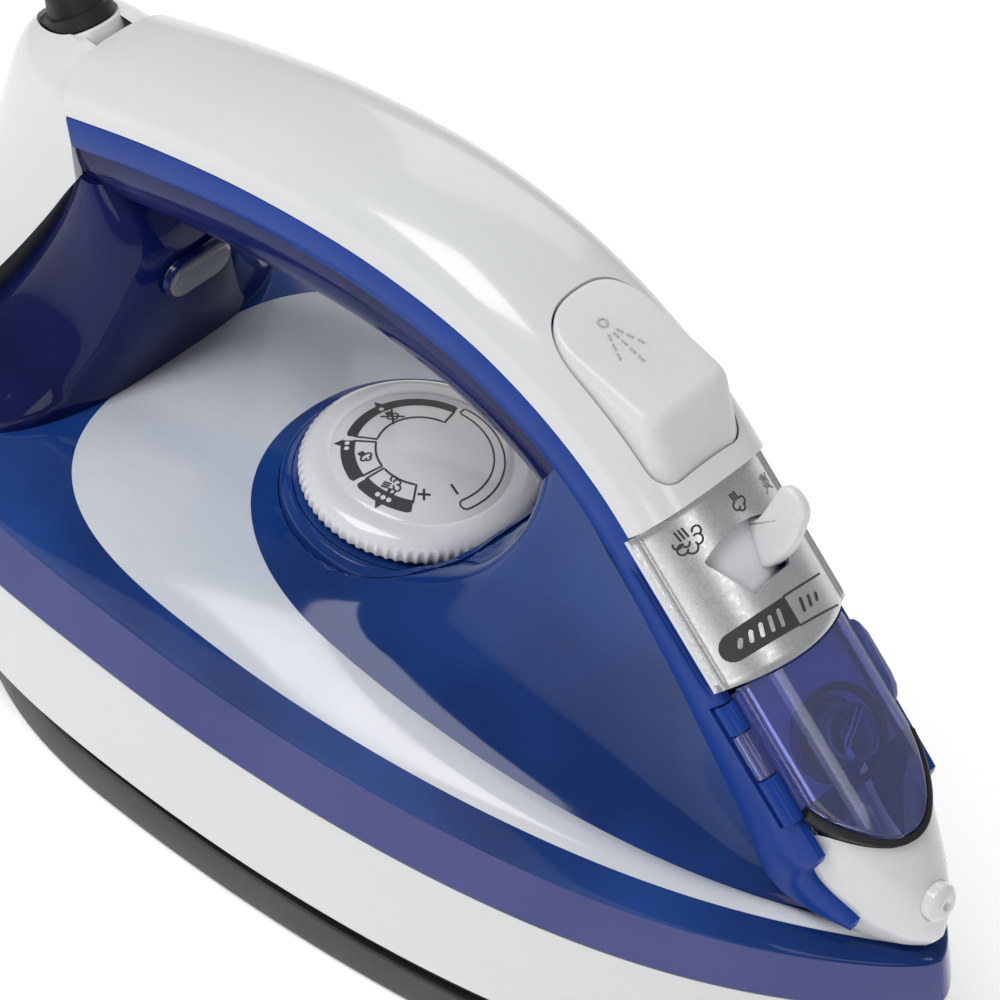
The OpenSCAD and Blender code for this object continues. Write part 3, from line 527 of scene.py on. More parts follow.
# cover with its button opening
PUMP_X = 33
lv = [cover_arc(t, 0) + cover_arc(t, 2)[::-1] for t in steps(0, 5.75, 90)]
cover = arc_loft("handle_top_cover", lv, WHITE, rep=("handle_cover",), sharp=40)


KEY_FRONT, KEY_ROUND = 46.6, 4.8


def button_plan(g):
    """The spray key from above, grown by g: two round front corners and a full round back."""
    r = KEY_ROUND + g
    out = [polar(r, -90 + 9 * k, KEY_FRONT, -7.2) for k in range(11)]
    out += [polar(r, 9 * k, KEY_FRONT, 7.2) for k in range(11)]
    for k in range(51):
        a = 90 + 3.6 * k
        out.append((29 + (13.5 + g) * sp(cosd(a), 2.7), (12.2 + g) * sp(sind(a), 2.7)))
    return out


cut(cover, *prism(button_plan(0.4), 118, 168))
v, f = prism([(-1.9, -40), (80, -40), (80, 40), (-1.9, 40)], -20, 40, sloped)
cut(cover, v, f)

# side bands
def band(side, name, rep=()):
    lv = []
    for t in steps(0, 9, 120):
        w, h = blend4(t)[5], band_h(t)
        e = min(0.8, h * 0.3)
        pts = [(w - 2.2, 0.1), (w - 0.7, 0.1), (w - 0.2, 0.3), (w, 0.8), (w, h - 0.1 - e),
               (w - 0.15, h - 0.1 - e * 0.4), (w - 0.5, h - 0.1), (w - 2.2, h - 0.1)]
        lv.append([on_spine(t, side * y, z) for y, z in pts])
    return stack_loft(name, lv, BLUE, rep=rep, slot="blue_plastic", sharp=40)


near = band(-1, "side_band_right", rep=("handle_frame",))
band(1, "side_band_left")
v, f = prism([(34.6, -21), (61.4, -21), (61.4, -14.6), (34.6, -14.6)], -5.2, 10, sloped)
cut(near, v, f)

# grip
def grip_fade(t, off, n=32):
    """The grip's arc, which flattens into the tank's front past the dial."""
    v, k = blend4(t), max(0, (t - 4.75) / 1.6)
    w, d = v[5] - 0.8 - off, (v[4] - off) * (1 - k) ** 1.5 + 0.3
    turns = [180 * i / n for i in range(n + 1)]
    return [on_spine(t, -w * sp(cosd(a), 2.4), -d * sp(sind(a), 2.4)) for a in turns]


lv = [grip_fade(t, 0) + grip_fade(t, 2)[::-1] for t in steps(0, 6.3, 90)]
grip = arc_loft("grip_shell", lv, GRIP, rep=("handle_grip",), sharp=40)
# the pump passes through the hidden end of the grip's arc, inside the tank
cut(grip, *prism([polar(6.2, 10 * k, PUMP_X) for k in range(36)], 100, 118))

# tank top: from the window up into the front of the handle, which it meets at STEM_T on the spine
STEM_T = 4.75


def stem_ring(off, n=N):
    out = []
    for i in range(n):
        a = 2 * math.pi * i / n
        c, s = math.cos(a), math.sin(a)
        v = blend4(STEM_T)
        w = v[5] - 0.8 - off
        if c < 0:
            out.append(on_spine(STEM_T, w * sp(s, 2.4), -(v[4] - off) * sp(-c, 2.4)))
        else:
            t = STEM_T + (7.9 - STEM_T - off / 30) * c
            out.append(on_spine(t, (blend4(t)[5] - 0.8 - off) * sgn(s) * abs(s) ** 0.25, -0.4))
    return out


def tank_top_ring(v, off):
    lo, hi = low(WIN_IN, off), stem_ring(off)
    out = []
    for i in range(N):
        p, q, back = lo[i], hi[i], max(0, -math.cos(2 * math.pi * i / N))
        a = (p[0] + (q[0] - p[0]) * 0.45, p[1] + (q[1] - p[1]) * 0.7, p[2] + 4 - 0.8 * back - off * 0.2)
        b = (q[0] - (q[0] - p[0]) * 0.03, q[1], max(q[2] - 26 - 20 * back, p[2] + 2))
        u = 1 - v
        out.append(tuple(u ** 3 * p[k] + 3 * u ** 2 * v * a[k] + 3 * u * v * v * b[k] + v ** 3 * q[k]
                         for k in range(3)))
    return out


DIAL_X = -15.5
lv = [tank_top_ring(k / 40, 0) for k in range(41)]
top = ring_loft("tank_top_shell", lv + [tank_top_ring(k / 40, 2) for k in range(40, -1, -1)], TANK_BLUE,
    rep=("tank_top",), sharp=50)


def punch(o, cx, cy, radius):
    """A round hole down through a thin shell.

    Faces inside go, the rim is drawn onto the circle and both skins are joined.
    """
    bm = bmesh.new()
    bm.from_mesh(o.data)
    far = {v: math.hypot(v.co.x - cx * MM, v.co.y - cy * MM) - radius * MM for v in bm.verts}
    bmesh.ops.delete(bm, geom=[f for f in bm.faces if all(far[v] < 0 for v in f.verts)], context="FACES")
    for v in bm.verts:
        if far[v] < 0 and v.link_faces:
            d = Vector((v.co.x - cx * MM, v.co.y - cy * MM))
            d = d.normalized() * radius * MM
            v.co.x, v.co.y = cx * MM + d.x, cy * MM + d.y
    bmesh.ops.delete(bm, geom=[v for v in bm.verts if not v.link_faces], context="VERTS")
    bmesh.ops.bridge_loops(bm, edges=[e for e in bm.edges if e.is_boundary])
    bmesh.ops.recalc_face_normals(bm, faces=bm.faces)
    bm.to_mesh(o.data)
    bm.free()
    o.data.shade_smooth()
    o.data.set_sharp_from_angle(angle=math.radians(50))


punch(top, DIAL_X, 0, 28.1)
revolve("dial_plateau", rounded([(5.1, 70), (27.9, 64), (27.9, 73.4), (26.4, 75), (24.6, 75),
    (23.2, 73.2), (10, 73.2), (8, 75), (5.1, 75)], 0.8), TANK_BLUE, centre=(DIAL_X, 0, 0),
    slot="blue_clear", sharp=45)

# rear stem
STEM_SEC = [(53, -121, -84, 44), (60, -120.5, -82, 41), (66, -119.8, -81, 34),
    (75, -116.3, -79.6, 26.5), (84, -112.6, -79.2, 22),
            (92, -109.4, -80.2, 19.6), (99, -106.7, -82.6, 18.2), (105, -104.4, -86.5, 17.2), (110,
                -102.6, -91, 16.6)]


def smooth_table(rows, n):
    """The rows, smoothed to n + 1 of them."""
    out, m = [], len(rows) - 1
    for j in range(n + 1):
        t = m * j / n
        k = min(int(t), m - 1)
        out.append(cubic(clamped(rows), k, t - k))
    return out


def slab(s, off, n=128):
    cx, l = (s[1] + s[2]) / 2, (s[2] - s[1]) / 2 - off
    turns = [360 * i / n for i in range(n)]
    return [(cx + l * sp(cosd(a), 2.6), (s[3] - off) * sp(sind(a), 2.6), s[0]) for a in turns]


sec = smooth_table(STEM_SEC, 40)
ring_loft("rear_stem_shell", [slab(s, 0) for s in sec] + [slab(s, 2) for s in reversed(sec)], STEM,
    rep=("rear_stem",), sharp=50)

# ------------------------------------------------------------------ rear cover
COVER_SEC = [(14, -132, -126.4, 38), (18, -133, -126.4, 42), (50, -133, -126.2, 42),
    (56, -133, -123.2, 39),
             (66, -132.6, -120.2, 33), (75, -132, -116.7, 27), (84, -131.3, -113, 22.5), (95, -130.3,
                 -108.6, 19.6),
             (105, -129.2, -104.8, 18), (116.6, -127.8, -100.4, 17), (124, -126.2, -103, 15.5), (129,
                 -124, -105, 12.5), (132.6, -119, -107, 7)]


def cover_slab(c, off, n=72):
    l = c[2] - c[1] - off
    turns = [82 + 196 * i / n for i in range(n + 1)]
    return [(c[2] + l * sp(cosd(a), 2.4), (c[3] - off) * sp(sind(a), 3), c[0]) for a in turns]


def gland(p):
    x, y, z = p
    return (-113 + x * cosd(35) - z * sind(35), y, 126 + x * sind(35) + z * cosd(35))


sec = smooth_table(COVER_SEC, 60)
rear = arc_loft("rear_cover_shell", [cover_slab(c, 0) + cover_slab(c, 1.9)[::-1] for c in sec], WHITE,
    rep=("rear_cover",), sharp=40)
a0 = fall(0)


def handle_end(p):
    return (-100 + p[0] * cosd(a0) - p[2] * sind(a0), p[1], 116.6 + p[0] * sind(a0) + p[2] * cosd(a0))


cut(rear, *prism([(-0.15, -30), (30, -30), (30, 30), (-0.15, 30)], -17, 43, handle_end))
circle = [(cosd(a), sind(a)) for a in range(0, 360, 6)]


def rearward(p):
    return p[2], p[1], p[0]


cut(rear, *prism([(8.0 * x, 8.0 * y) for x, y in circle], -9, 30, gland))
for s in (-1, 1):
    for r, x1 in ((3.2, -129.4), (1.7, -110)):
        cut(rear, *prism([(92 + r * x, s * 9 + r * y) for x, y in circle], -140, x1, rearward))
for s in (-1, 1):
    cut(rear, *prism([(28 + 5.1 * x, s * 27 + 5.1 * y) for x, y in circle], -140, -131.8, rearward))
v, f = prism([(p[0], p[1]) for p in cover_slab(COVER_SEC[0], 0.4)], 14, 16)
build("rear_cover_base", v, f, WHITE, slot="white_plastic")
revolve("cord_boss", rounded([(6.5, -1), (8.2, -1), (8.2, 4.4), (6.5, 4.4)], 0.5), WHITE, place=gland,
    slot="white_plastic", n=96)
for s in (-1, 1):
    for y, z, r in ((27, 28, 5), (11, 72, 4)):
        revolve("heel_pad", rounded([(0, 0), (r, 0), (r, 1.2), (0, 1.2)], 0.4), RUBBER, n=64,
                place=lambda p, s=s, y=y, z=z: (-131.8 - p[2], s * y + p[1],
                    z + p[0]), rep=("heel_pads",))

# ------------------------------------------------------------------ nose, its nozzle
NOSE_SEC = [(59.7, 15, 7.4, 0.4), (62, 15, 7.4, -1), (68, 14.9, 7, -5), (74, 14.4, 6.4, -9),
    (80, 13, 5.4, -12),
            (86, 10.8, 3.8, -12.4), (91, 8, 1.6, -11), (95, 5, -1, -8), (97.4, 2, -3.2, -6)]


def nose_arc(c, off, n=56):
    w, top = c[1] - min(off, c[1] / 2), c[2] - min(off, (c[2] - c[3]) / 2)
    s = c[0] - (off if c[0] > 95 else 0)
    turns = [180 * k / n for k in range(n + 1)]
    return [on_slope(s, -w * sp(cosd(a), 2.1), c[3] + (top - c[3]) * sp(sind(a), 2.6)) for a in turns]


V_EDGE = [(59.5, 15), (63.5, 13.6), (68, 10.8), (71.5, 7.6), (74, 4), (74.9, 0)]


def v_edge(g, n=40):
    """Right half of the lid's pointed end, from its side to its tip."""
    rows = V_EDGE + [(74, -4)]
    return [(s + g, max(0, y + g * y / 20)) for s, y in smooth_table(rows, n * 6 // 5)][:n + 1]


def lid_outline(g, s0=33.9):
    e = v_edge(g)
    return [(s0, -15 - g)] + [(s, -y) for s, y in e] + [(s, y) for s, y in e[::-1][1:]] + [(s0, 15 + g)]


sec = smooth_table(NOSE_SEC, 48)
nose = arc_loft("nose_shell", [nose_arc(c, 0) + nose_arc(c, 2)[::-1] for c in sec], WHITE,
    rep=("nose_cover",), sharp=40)
v, f = prism(lid_outline(1.9, 30), -30, 30, sloped)
cut(nose, v, f)


def nozzle(p):
    x, y, z = p
    return on_slope(88.5 + x * cosd(40) + z * sind(40), y, -x * sind(40) + z * cosd(40))


cut(nose, *prism([(4.1 * x, 4.1 * y) for x, y in circle], -12, 18, nozzle))
revolve("nozzle_cap", rounded([(0.5, -6), (4, -6), (4, 3.6), (2.6, 4.8), (1.2, 4.8), (0.5, 4.1)], 0.4),
    WHITE, place=nozzle, rep=("spray_nozzle",), n=72)

# ------------------------------------------------------------------ control panel
def crown_h(y, top=7.6, r=28):
    return top - r + math.sqrt(max(0.01, r * r - y * y))


def panel_end(y):
    return 31.9 + 2.5 * (1 - (y / 18.7) ** 2)


def panel_profile(off):
    """Across the panel: ledge, rounded shoulder, crown, shoulder, ledge."""
    half = [(18.9, 0.08), (18.9, 1.0), (18.75, 1.28), (18.4, 1.4), (17.75, 1.45), (17.55, 1.6),
        (17.3, 1.95)]
    out = [(-(y - off * 0.7), h - (off if h > 1 else 0)) for y, h in half]
    n = 56
    for k in range(n + 1):
        y = -16.9 + 33.8 * k / n
        out.append((y, crown_h(y) - off))
    return out + [(y - off * 0.7, h - (off if h > 1 else 0)) for y, h in half[::-1]]


panel_out, panel_in = panel_profile(0), panel_profile(1.3)
lv = []
for k in range(41):
    t = k / 40
    e = 0.35 * max(0, abs(2 * t - 1) - 0.96) / 0.04
    outer = [on_slope(-1.6 + (panel_end(y) + 1.6) * t, y, max(h - e, 0.05)) for y, h in panel_out]
    inner = [on_slope(-1.6 + (panel_end(y) + 1.6) * t, y, h) for y, h in panel_in]
    lv.append(outer + inner[::-1])
panel = arc_loft("metallic_panel", lv, SILVER, rep=("control_panel",), sharp=32)
LEVER_S = 27.5                            # the lever's pivot, down the slope

# the panel's window: an arc about the pivot, a straight far side and a softly bent inner edge
opening = [(LEVER_S - 20.4 * cosd(a), 20.4 * sind(a)) for a in steps(-27.6, 27.2, 30)]
opening += [(10.0, 9.65), (10.8, 9.6), (17.9, 7.8), (18.9, 7.3), (19.3, 6.5), (19.25, 5), (19.3, 3),
            (19.7, -0.8), (20.05, -3.3), (19.85, -4.2), (19.2, -4.6), (10.2, -9.35)]
v, f = prism(opening, 0, 20, sloped)
cut(panel, v, f)
edge = panel.modifiers.new("edge", "BEVEL")
edge.width, edge.segments = 0.00022, 2
edge.limit_method, edge.angle_limit = "ANGLE", math.radians(50)
panel.data.set_sharp_from_angle(angle=math.radians(40))

# moulded bead on the band's outer face, under the panel
for side in (-1, 1):
    lv = []
    for k in range(41):
        along = 3 + 29.5 * k / 40
        high = -2.6 + 1.6 * max(0, (k - 34) / 6) ** 2
        r = 0.42 * min(1, k / 3, (40 - k) / 3) + 0.02
        lv.append([on_slope(along, side * (18.86 + r * cosd(a)), high + r * 1.2 * sind(a))
                   for a in range(0, 360, 30)])
    stack_loft("band_bead", lv, BLUE, slot="blue_plastic", sharp=60)

# ------------------------------------------------------------------ steam lever
def lever(p):
    x, y, z = p
    c = cosd(45)
    return on_slope(LEVER_S + (x + z) * c, y, 5 + (-x + z) * c)


n = 80
prof = rounded([(3.6, -4.2), (4.2, -3.4), (15.4, -14.6), (14.8, -15.4)], 0.3, 2)
lv = [[lever((*polar(r, 73 + 152 * i / n), z)) for r, z in prof] for i in range(n + 1)]
stack_loft("lever_shutter", lv, MILK, body="steam_selector", rep=("steam_lever",), sharp=40)
FIN = [(7.6, -7.8), (13.6, -13.8), (15.8, -12), (19.1, -10.9), (23.2, -9.9), (24.5, -8.6), (24.4, -6.4),
    (23.2, -4), (21.1, -2.6), (17.7, -2.4), (14.9, -2.6), (11.2, -4.4)]


def smooth_loop(pts, n=6):
    """A closed outline, smoothed through its points."""
    m = len(pts)
    return [tuple(cubic(lambda j: pts[j % m], k, j / n)) for k in range(m) for j in range(n)]


def offset_loop(pts, d):
    m, out = len(pts), []
    area = sum(pts[i][0] * pts[(i + 1) % m][1] - pts[(i + 1) % m][0] * pts[i][1] for i in range(m))
    sg = 1 if area > 0 else -1
    for i in range(m):
        a, b = pts[(i - 2) % m], pts[(i + 2) % m]
        dx, dy = b[0] - a[0], b[1] - a[1]
        l = math.hypot(dx, dy) or 1
        out.append((pts[i][0] - sg * dy / l * d, pts[i][1] + sg * dx / l * d))
    return out


loop = smooth_loop(FIN)
mid = (sum(p[0] for p in loop) / len(loop), sum(p[1] for p in loop) / len(loop))


def fin_point(r, z, side):
    """A point of the paddle, whose far face spreads towards the pivot."""
    deep = min(1, max(0, (16 - r) / 8.5))
    spread = 2.0 * deep * deep * (3 - 2 * deep) if side > 0 else 0
    x, y = -r, side * (1 + spread)
    return lever((x * cosd(-25) - y * sind(-25), x * sind(-25) + y * cosd(-25), z))


lv = []
for side in (-1, 1):
    flat = offset_loop(loop, 1.0)
    half = [[(mid[0] + (r - mid[0]) * k, mid[1] + (z - mid[1]) * k, 1.5) for r, z in flat]
            for k in (0.02, 0.2, 0.4, 0.6, 0.8)]
    half += [[(r, z, y) for r, z in offset_loop(loop, d)]
             for d, y in ((1.0, 1.5), (0.55, 1.42), (0.2, 1.2), (0.02, 0.8))]
    half = [[fin_point(r, z, side * y) for r, z, y in ring] for ring in half]
    lv += half if side < 0 else [[fin_point(r, z, 0) for r, z in loop]] + half[::-1]
stack_loft("lever_fin", lv, MILK, body="steam_selector", slot="milky_plastic", sharp=60)
revolve("lever_hub", rounded([(0, -10.4), (5.4, -10.4), (5.4, -9), (2.4, -9), (2.4, -6.2), (5.6, -6.2),
    (5.6, -4.6), (2.4, -4.6), (2.4, -1.1), (0, -1.1)], 0.2), MILK, body="steam_selector", place=lever,
    n=64, slot="milky_plastic")

# ------------------------------------------------------------------ filling lid
ON_LID = {"body": "filler_lid", "slot": "lid_clear"}


def lid_profile(w):
    """Closed cross-section of the lid's crown at half width w."""
    n, out, inn = 40, [], []
    for k in range(n + 1):
        y = -w + 2 * w * k / n
        e = max(0, 1 - (w - abs(y)) / 0.5)
        out.append((y, crown_h(y, 7.2) - 0.35 * e * e))
    for k in range(n + 1):
        y = (w - 0.02) * (1 - 2 * k / n)
        inn.append((y, crown_h(y, 7.2) - 1.6))
    return out + inn


lv = []
for k in range(25):
    t = k / 24
    lv.append([on_slope((panel_end(y) + 0.5) * (1 - t) + 59.5 * t, y, h) for y, h in lid_profile(15)])
for s, w in v_edge(0)[1:]:
    lv.append([on_slope(s, y, h) for y, h in lid_profile(max(w, 0.25))])
stack_loft("lid_shell", lv, LID, body="filler_lid", rep=("fill_lid",), sharp=45)
for sd in (-1, 1):
    lv = []
    for k in range(25):
        s = 34.2 + 25.2 * k / 24
        lv.append([on_slope(s, sd * y, h) for y, h in ((15.05, 0.4), (15.05, 2.6), (14.6, 3.0),
            (13.5, 3.2), (13.5, 0.4))])
    stack_loft("lid_side", lv, LID, **ON_LID, sharp=45)
tab = []
for s, w in ((36.0, 16.4), (36.4, 17.2), (37.6, 18.0), (40, 18.6), (49, 18.6), (51.6, 18.2),
    (53.2, 17.2), (54, 16.2)):
    tab.append([on_slope(s, y, h) for y, h in (
        (14.6, 0.5), (w - 0.4, 0.4), (w, 0.8), (w, 1.6), (w - 0.4, 2.1), (14.6, 2.5))])
stack_loft("lid_thumb_tab", tab, LID, **ON_LID, sharp=50)


def plug(p):
    return on_slope(52.6 + p[0], p[1], p[2])


revolve("plug_tube", rounded([(4.7, -2.2), (6, -2.2), (6, 5.4), (4.7, 5.4)], 0.3), LID, place=plug,
    **ON_LID, n=96)
revolve("plug_ring", rounded([(8.5, 2.0), (10.1, 2.0), (10.1, 3.5), (8.5, 3.5)], 0.5), RUBBER,
    body="filler_lid", place=plug, slot="black_rubber", n=96)
lv = [[plug((*polar(6 + 0.9 * cosd(b), a), -0.5 + 0.9 * sind(b))) for a in range(0, 360, 4)]
      for b in range(0, 360, 20)]
ring_loft("plug_seal", lv, RUBBER, body="filler_lid", rep=("lid_seal",))
revolve("plug_hub", rounded([(0.55, 3.2), (1.2, 3.2), (1.2, 5.3), (0.55, 5.3)], 0.15), LID, place=plug,
    **ON_LID, n=48)


def hinge(p):
    return on_slope(p[2], -17.2 + p[1], -1.2 + p[0])


revolve("lid_knuckle", rounded([(1.25, 41.2), (2.1, 41.2), (2.1, 50.8), (1.25, 50.8)], 0.25), LID,
    place=hinge, **ON_LID, n=48)
v, f = prism([(41.2, -15.8), (50.8, -15.8), (50.8, -14.2), (41.2, -14.2)], -1.5, 1.2, sloped)
build("lid_knuckle_web", v, f, LID, **ON_LID)
for s0, s1 in ((34.8, 40.9), (51.1, 61.1)):
    revolve("hinge_ear", rounded([(1.2, s0), (2.25, s0), (2.25, s1), (1.2, s1)], 0.3), BLUE,
        place=hinge, rep=("lid_hinge_bracket",), n=48)
revolve("hinge_rod", rounded([(0, 35.4), (1.15, 35.4), (1.15, 57), (0, 57)], 0.2), PIN, place=hinge,
    rep=("lid_hinge_pin",), n=48)

# rim seal round the lid's pointed end: black rubber whose black also stands in for the shadow gap under the lid's
# edge, painted shade
e_in, e_out = v_edge(0.35), v_edge(1.75)
pts_in = [(s, -y) for s, y in e_in] + [(s, y) for s, y in e_in[::-1][1:]]
pts_out = [(s, -y) for s, y in e_out] + [(s, y) for s, y in e_out[::-1][1:]]
lv = []
for (s0, y0), (s1, y1) in zip(pts_in, pts_out):
    sm, ym = s0 * 0.5 + s1 * 0.5, y0 * 0.5 + y1 * 0.5
    lv.append([on_slope(s0, y0, crown_h(y0, 6.9)), on_slope(sm, ym, crown_h(y0, 7.05)),
               on_slope(s1, y1, crown_h(y1, 6.95)), on_slope(s1, y1, crown_h(y1, 5.2)),
               on_slope(s0, y0, crown_h(y0, 5.2))])
stack_loft("lid_rim_gasket_and_painted_gap_shade", lv, RUBBER, rep=("lid_rim_seal",), sharp=50)

# filling funnel
revolve("funnel_cup", rounded([(7.2, -16), (8.6, -16), (8.6, -0.8), (7.2, -0.8)], 0.3), TANK_BLUE,
    place=plug, rep=("fill_funnel",), n=96)
o = build("funnel_tray", *prism([(34.6, -14.6), (60.6, -14.6), (60.6, 14.6), (34.6, 14.6)], -4.2, -2.6,
    sloped), TRAY, slot="blue_clear")
cut(o, *prism([(52.6 + 7.2 * x, 7.2 * y) for x, y in circle], -8, 8, sloped))

# ------------------------------------------------------------------ dial
def knurled(name, rows, material, ribs=74, per=10, **k):
    """A turned body whose rows (radius, height, depth of the ribs) carry a knurl."""
    n, levels = ribs * per, []
    for r, z, depth in rows:
        ring = []
        for i in range(n):
            t = 2 * math.pi * i / n
            w = 0.5 + 0.5 * math.cos(ribs * t)
            rr = r + depth * (w ** 1.5 - 0.5)
            ring.append((DIAL_X + rr * math.cos(t), rr * math.sin(t), z))
        levels.append(ring)
    return stack_loft(name, levels, material, **k)


rows = [(22.6, 75.6, 0.0), (23.4, 75.6, 0.15), (23.9, 75.9, 0.42), (24.25, 76.5, 0.5), (24.35, 77.4, 0.5),
        (24.3, 78.2, 0.42), (24.1, 78.9, 0.2), (23.75, 79.5, 0.05), (23.1, 80.2, 0), (22.2, 80.8, 0),
        (21.0, 81.2, 0), (19.4, 81.38, 0), (18.7, 81.42, 0), (18.35, 81.4, 0), (18.15, 81.28, 0),
        (17.95, 81.4, 0), (17.6, 81.56, 0)]
rows += [(r, 84 - r * r / 126, 0) for r in (16, 14, 11, 8, 5, 2, 0.5)]
knurled("heat_dial", rows, DIAL_WHITE, body="dial_knob", rep=("dial",), sharp=60)
revolve("dial_stem", rounded([(0, 36.8), (3, 36.8), (3, 70.5), (5.05, 70.5), (5.05, 75.8), (0, 75.8)],
    0.2), WHITE, centre=(DIAL_X, 0, 0), body="dial_knob", rep=("dial_shaft",), n=64)


# ------------------------------------------------------------------ printed marks: thin raised ink
def ribbon(pts, w, closed=False):
    """Polygons of a stroke of width w along the points."""
    out, left, right, m = [], [], [], len(pts)
    for i, p in enumerate(pts):
        a = pts[(i - 1) % m] if (closed or i > 0) else p
        b = pts[(i + 1) % m] if (closed or i < m - 1) else p
        dx, dy = b[0] - a[0], b[1] - a[1]
        l = math.hypot(dx, dy) or 1
        left.append((p[0] - dy / l * w / 2, p[1] + dx / l * w / 2))
        right.append((p[0] + dy / l * w / 2, p[1] - dx / l * w / 2))
    for i in range(m if closed else m - 1):
        j = (i + 1) % m
        out.append([left[i], left[j], right[j], right[i]])
    if not closed:
        for p in (pts[0], pts[-1]):
            out.append([polar(w / 2, a, *p) for a in range(0, 360, 30)])
    return out


def ink(name, polys, place, body, material, lift=0.03, thick=0.05, cell=1.6):
    """Flat polygons laid on a curved surface, cut into cells so that they follow it: place(u, v, h)."""
    bm = bmesh.new()
    for poly in polys:
        bm.faces.new([bm.verts.new((p[0], p[1], 0)) for p in poly])
    bm.normal_update()
    for face in bm.faces:
        if face.normal.z < 0:
            face.normal_flip()
    for axis in (0, 1):
        along = [v.co[axis] for v in bm.verts]
        normal = (1, 0, 0) if axis == 0 else (0, 1, 0)
        q, end = math.floor(min(along) / cell) * cell, max(along)
        while q < end:
            every = bm.verts[:] + bm.edges[:] + bm.faces[:]
            bmesh.ops.bisect_plane(bm, geom=every, plane_co=[c * q for c in normal], plane_no=normal)
            q += cell
    raised = bmesh.ops.extrude_face_region(bm, geom=bm.faces[:])
    for v in raised["geom"]:
        if isinstance(v, bmesh.types.BMVert):
            v.co.z = thick
    for v in bm.verts:
        sunk = 0.06 if v.co.z < 1e-6 else 0
        v.co = Vector([c * MM for c in place(v.co.x, v.co.y, lift + v.co.z - sunk)])
    bmesh.ops.recalc_face_normals(bm, faces=bm.faces)
    me = bpy.data.meshes.new(name)
    bm.to_mesh(me)
    bm.free()
    me.materials.append(material)
    o = bpy.data.objects.new(name, me)
    bpy.context.scene.collection.objects.link(o)
    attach(o, body)
    return o


def arc_pts(r, a0, a1, cx=0, cy=0, step=3):
    m = max(2, int(abs(a1 - a0) / step) + 1)
    return [polar(r, a0 + (a1 - a0) * k / m, cx, cy) for k in range(m + 1)]


def disc(at, r, n=16):
    return [polar(r, 360 * k / n, *at) for k in range(n)]


def dial_top(x, y, h):
    r2 = x * x + y * y
    return (DIAL_X + x, y, 84 - r2 / 126 + h)


def turn(pts, a, cx, cy, k=1.0):
    return [(cx + k * (x * cosd(a) - y * sind(a)), cy + k * (x * sind(a) + y * cosd(a))) for x, y in pts]


def cloud(big):
    """Strokes of a steam cloud with its jets, drawn about 0,0 with the jets along +y."""
    if big:
        puffs = [arc_pts(1.0, 60, 330, -1.5, -0.3), arc_pts(1.15, -170, 20, 0.2, -0.9),
                 arc_pts(1.0, -120, 110, 1.9, -0.1), arc_pts(0.8, 150, 300, -1.9, 1.0),
                 arc_pts(0.7, 200, 350, -0.4, 0.4), arc_pts(0.9, -60, 160, 2.5, 1.4)]
    else:
        puffs = [arc_pts(1.0, 90, 330, -1.1, 0), arc_pts(1.1, -150, 0, 0.3, -0.7),
                 arc_pts(1.0, -100, 120, 1.3, 0.4)]
    return puffs + [[(-1.0 + 0.8 * j, 1.3), (-1.3 + 0.8 * j, 3.2)] for j in range(3)]


# the dial's three heat bands, each a solid arc with a thin frame inside it
marks, whites = [], []
FRAME_R = 9.5
for a0, a1, r0, r1 in ((-55, -102, 13.3, 16.2), (-106, -147, 13.6, 16.4), (-152, -254, 13.6, 15.9)):
    inn, out = arc_pts(r0, a0, a1), arc_pts(r1, a0, a1)
    out[0], out[-1] = polar(r1 - 0.35, a0), polar(r1 - 0.35, a1)
    for i in range(len(inn) - 1):
        marks.append([inn[i], inn[i + 1], out[i + 1], out[i]])
    frame_line = [polar(r0 + 0.4, a0), polar(FRAME_R, a0)] + arc_pts(FRAME_R, a0 - 3, a1 + 3)
    marks += ribbon(frame_line + [polar(FRAME_R, a1), polar(r0 + 0.4, a1)], 0.42)
for a, r in ((-79, 16.2), (-144, 16.4), (-193, 15.9)):
    marks.append([polar(r - 0.3, a - 4), polar(r + 1.5, a), polar(r - 0.3, a + 3)])
for r, a in ((14.8, -84), (14.8, -79), (14.8, -74), (15.2, -138.6), (15.2, -144), (14.5, -192)):
    whites.append(disc(polar(r, a), 0.52))
for r, a, size, big in ((11.7, -77, 0.68, True), (11.6, -125, 0.55, False)):
    for stroke in cloud(big):
        marks += ribbon(turn(stroke, a + 180 if big else a + 200, *polar(r, a), size), 0.36)
dry = polar(11.2, 166)
for stroke in cloud(False):
    marks += ribbon(turn(stroke, 70, *dry, 0.55), 0.34)
for y in (-1.5, 1.5):
    marks += ribbon([(dry[0] - 1.7, dry[1] + y), (dry[0] + 1.6, dry[1] - (1.6 if y > 0 else -1.6))], 0.42)
# the grip hollow's outline, and a plus and a minus
hollow = arc_pts(14.3, 100, -14) + [polar(14.6, -16.5), polar(15.3, -17.5), polar(16.1, -16.5)]
hollow += arc_pts(16.5, -14, 100) + [polar(16.1, 102), polar(14.7, 102)]
marks += ribbon(hollow, 0.36, True)
for r, a in ((11.6, -46), (11.5, -14)):
    x, y = polar(r, a)
    dx, dy = polar(1.1, a)
    marks += ribbon([(x - dx, y - dy), (x + dx, y + dy)], 0.5)
    if a < -30:
        marks += ribbon([(x - dy, y + dx), (x + dy, y - dx)], 0.5)
ink("dial_print", marks, dial_top, "dial_knob", INK)
ink("dial_dots", whites, dial_top, "dial_knob", DIAL_WHITE, lift=0.07)


def panel_top(s, y, h):
    c = crown_h(y)
    tilt = math.atan2(y, 28 - 7.6 + c)
    return on_slope(s, y + h * math.sin(tilt), c + h * math.cos(tilt))


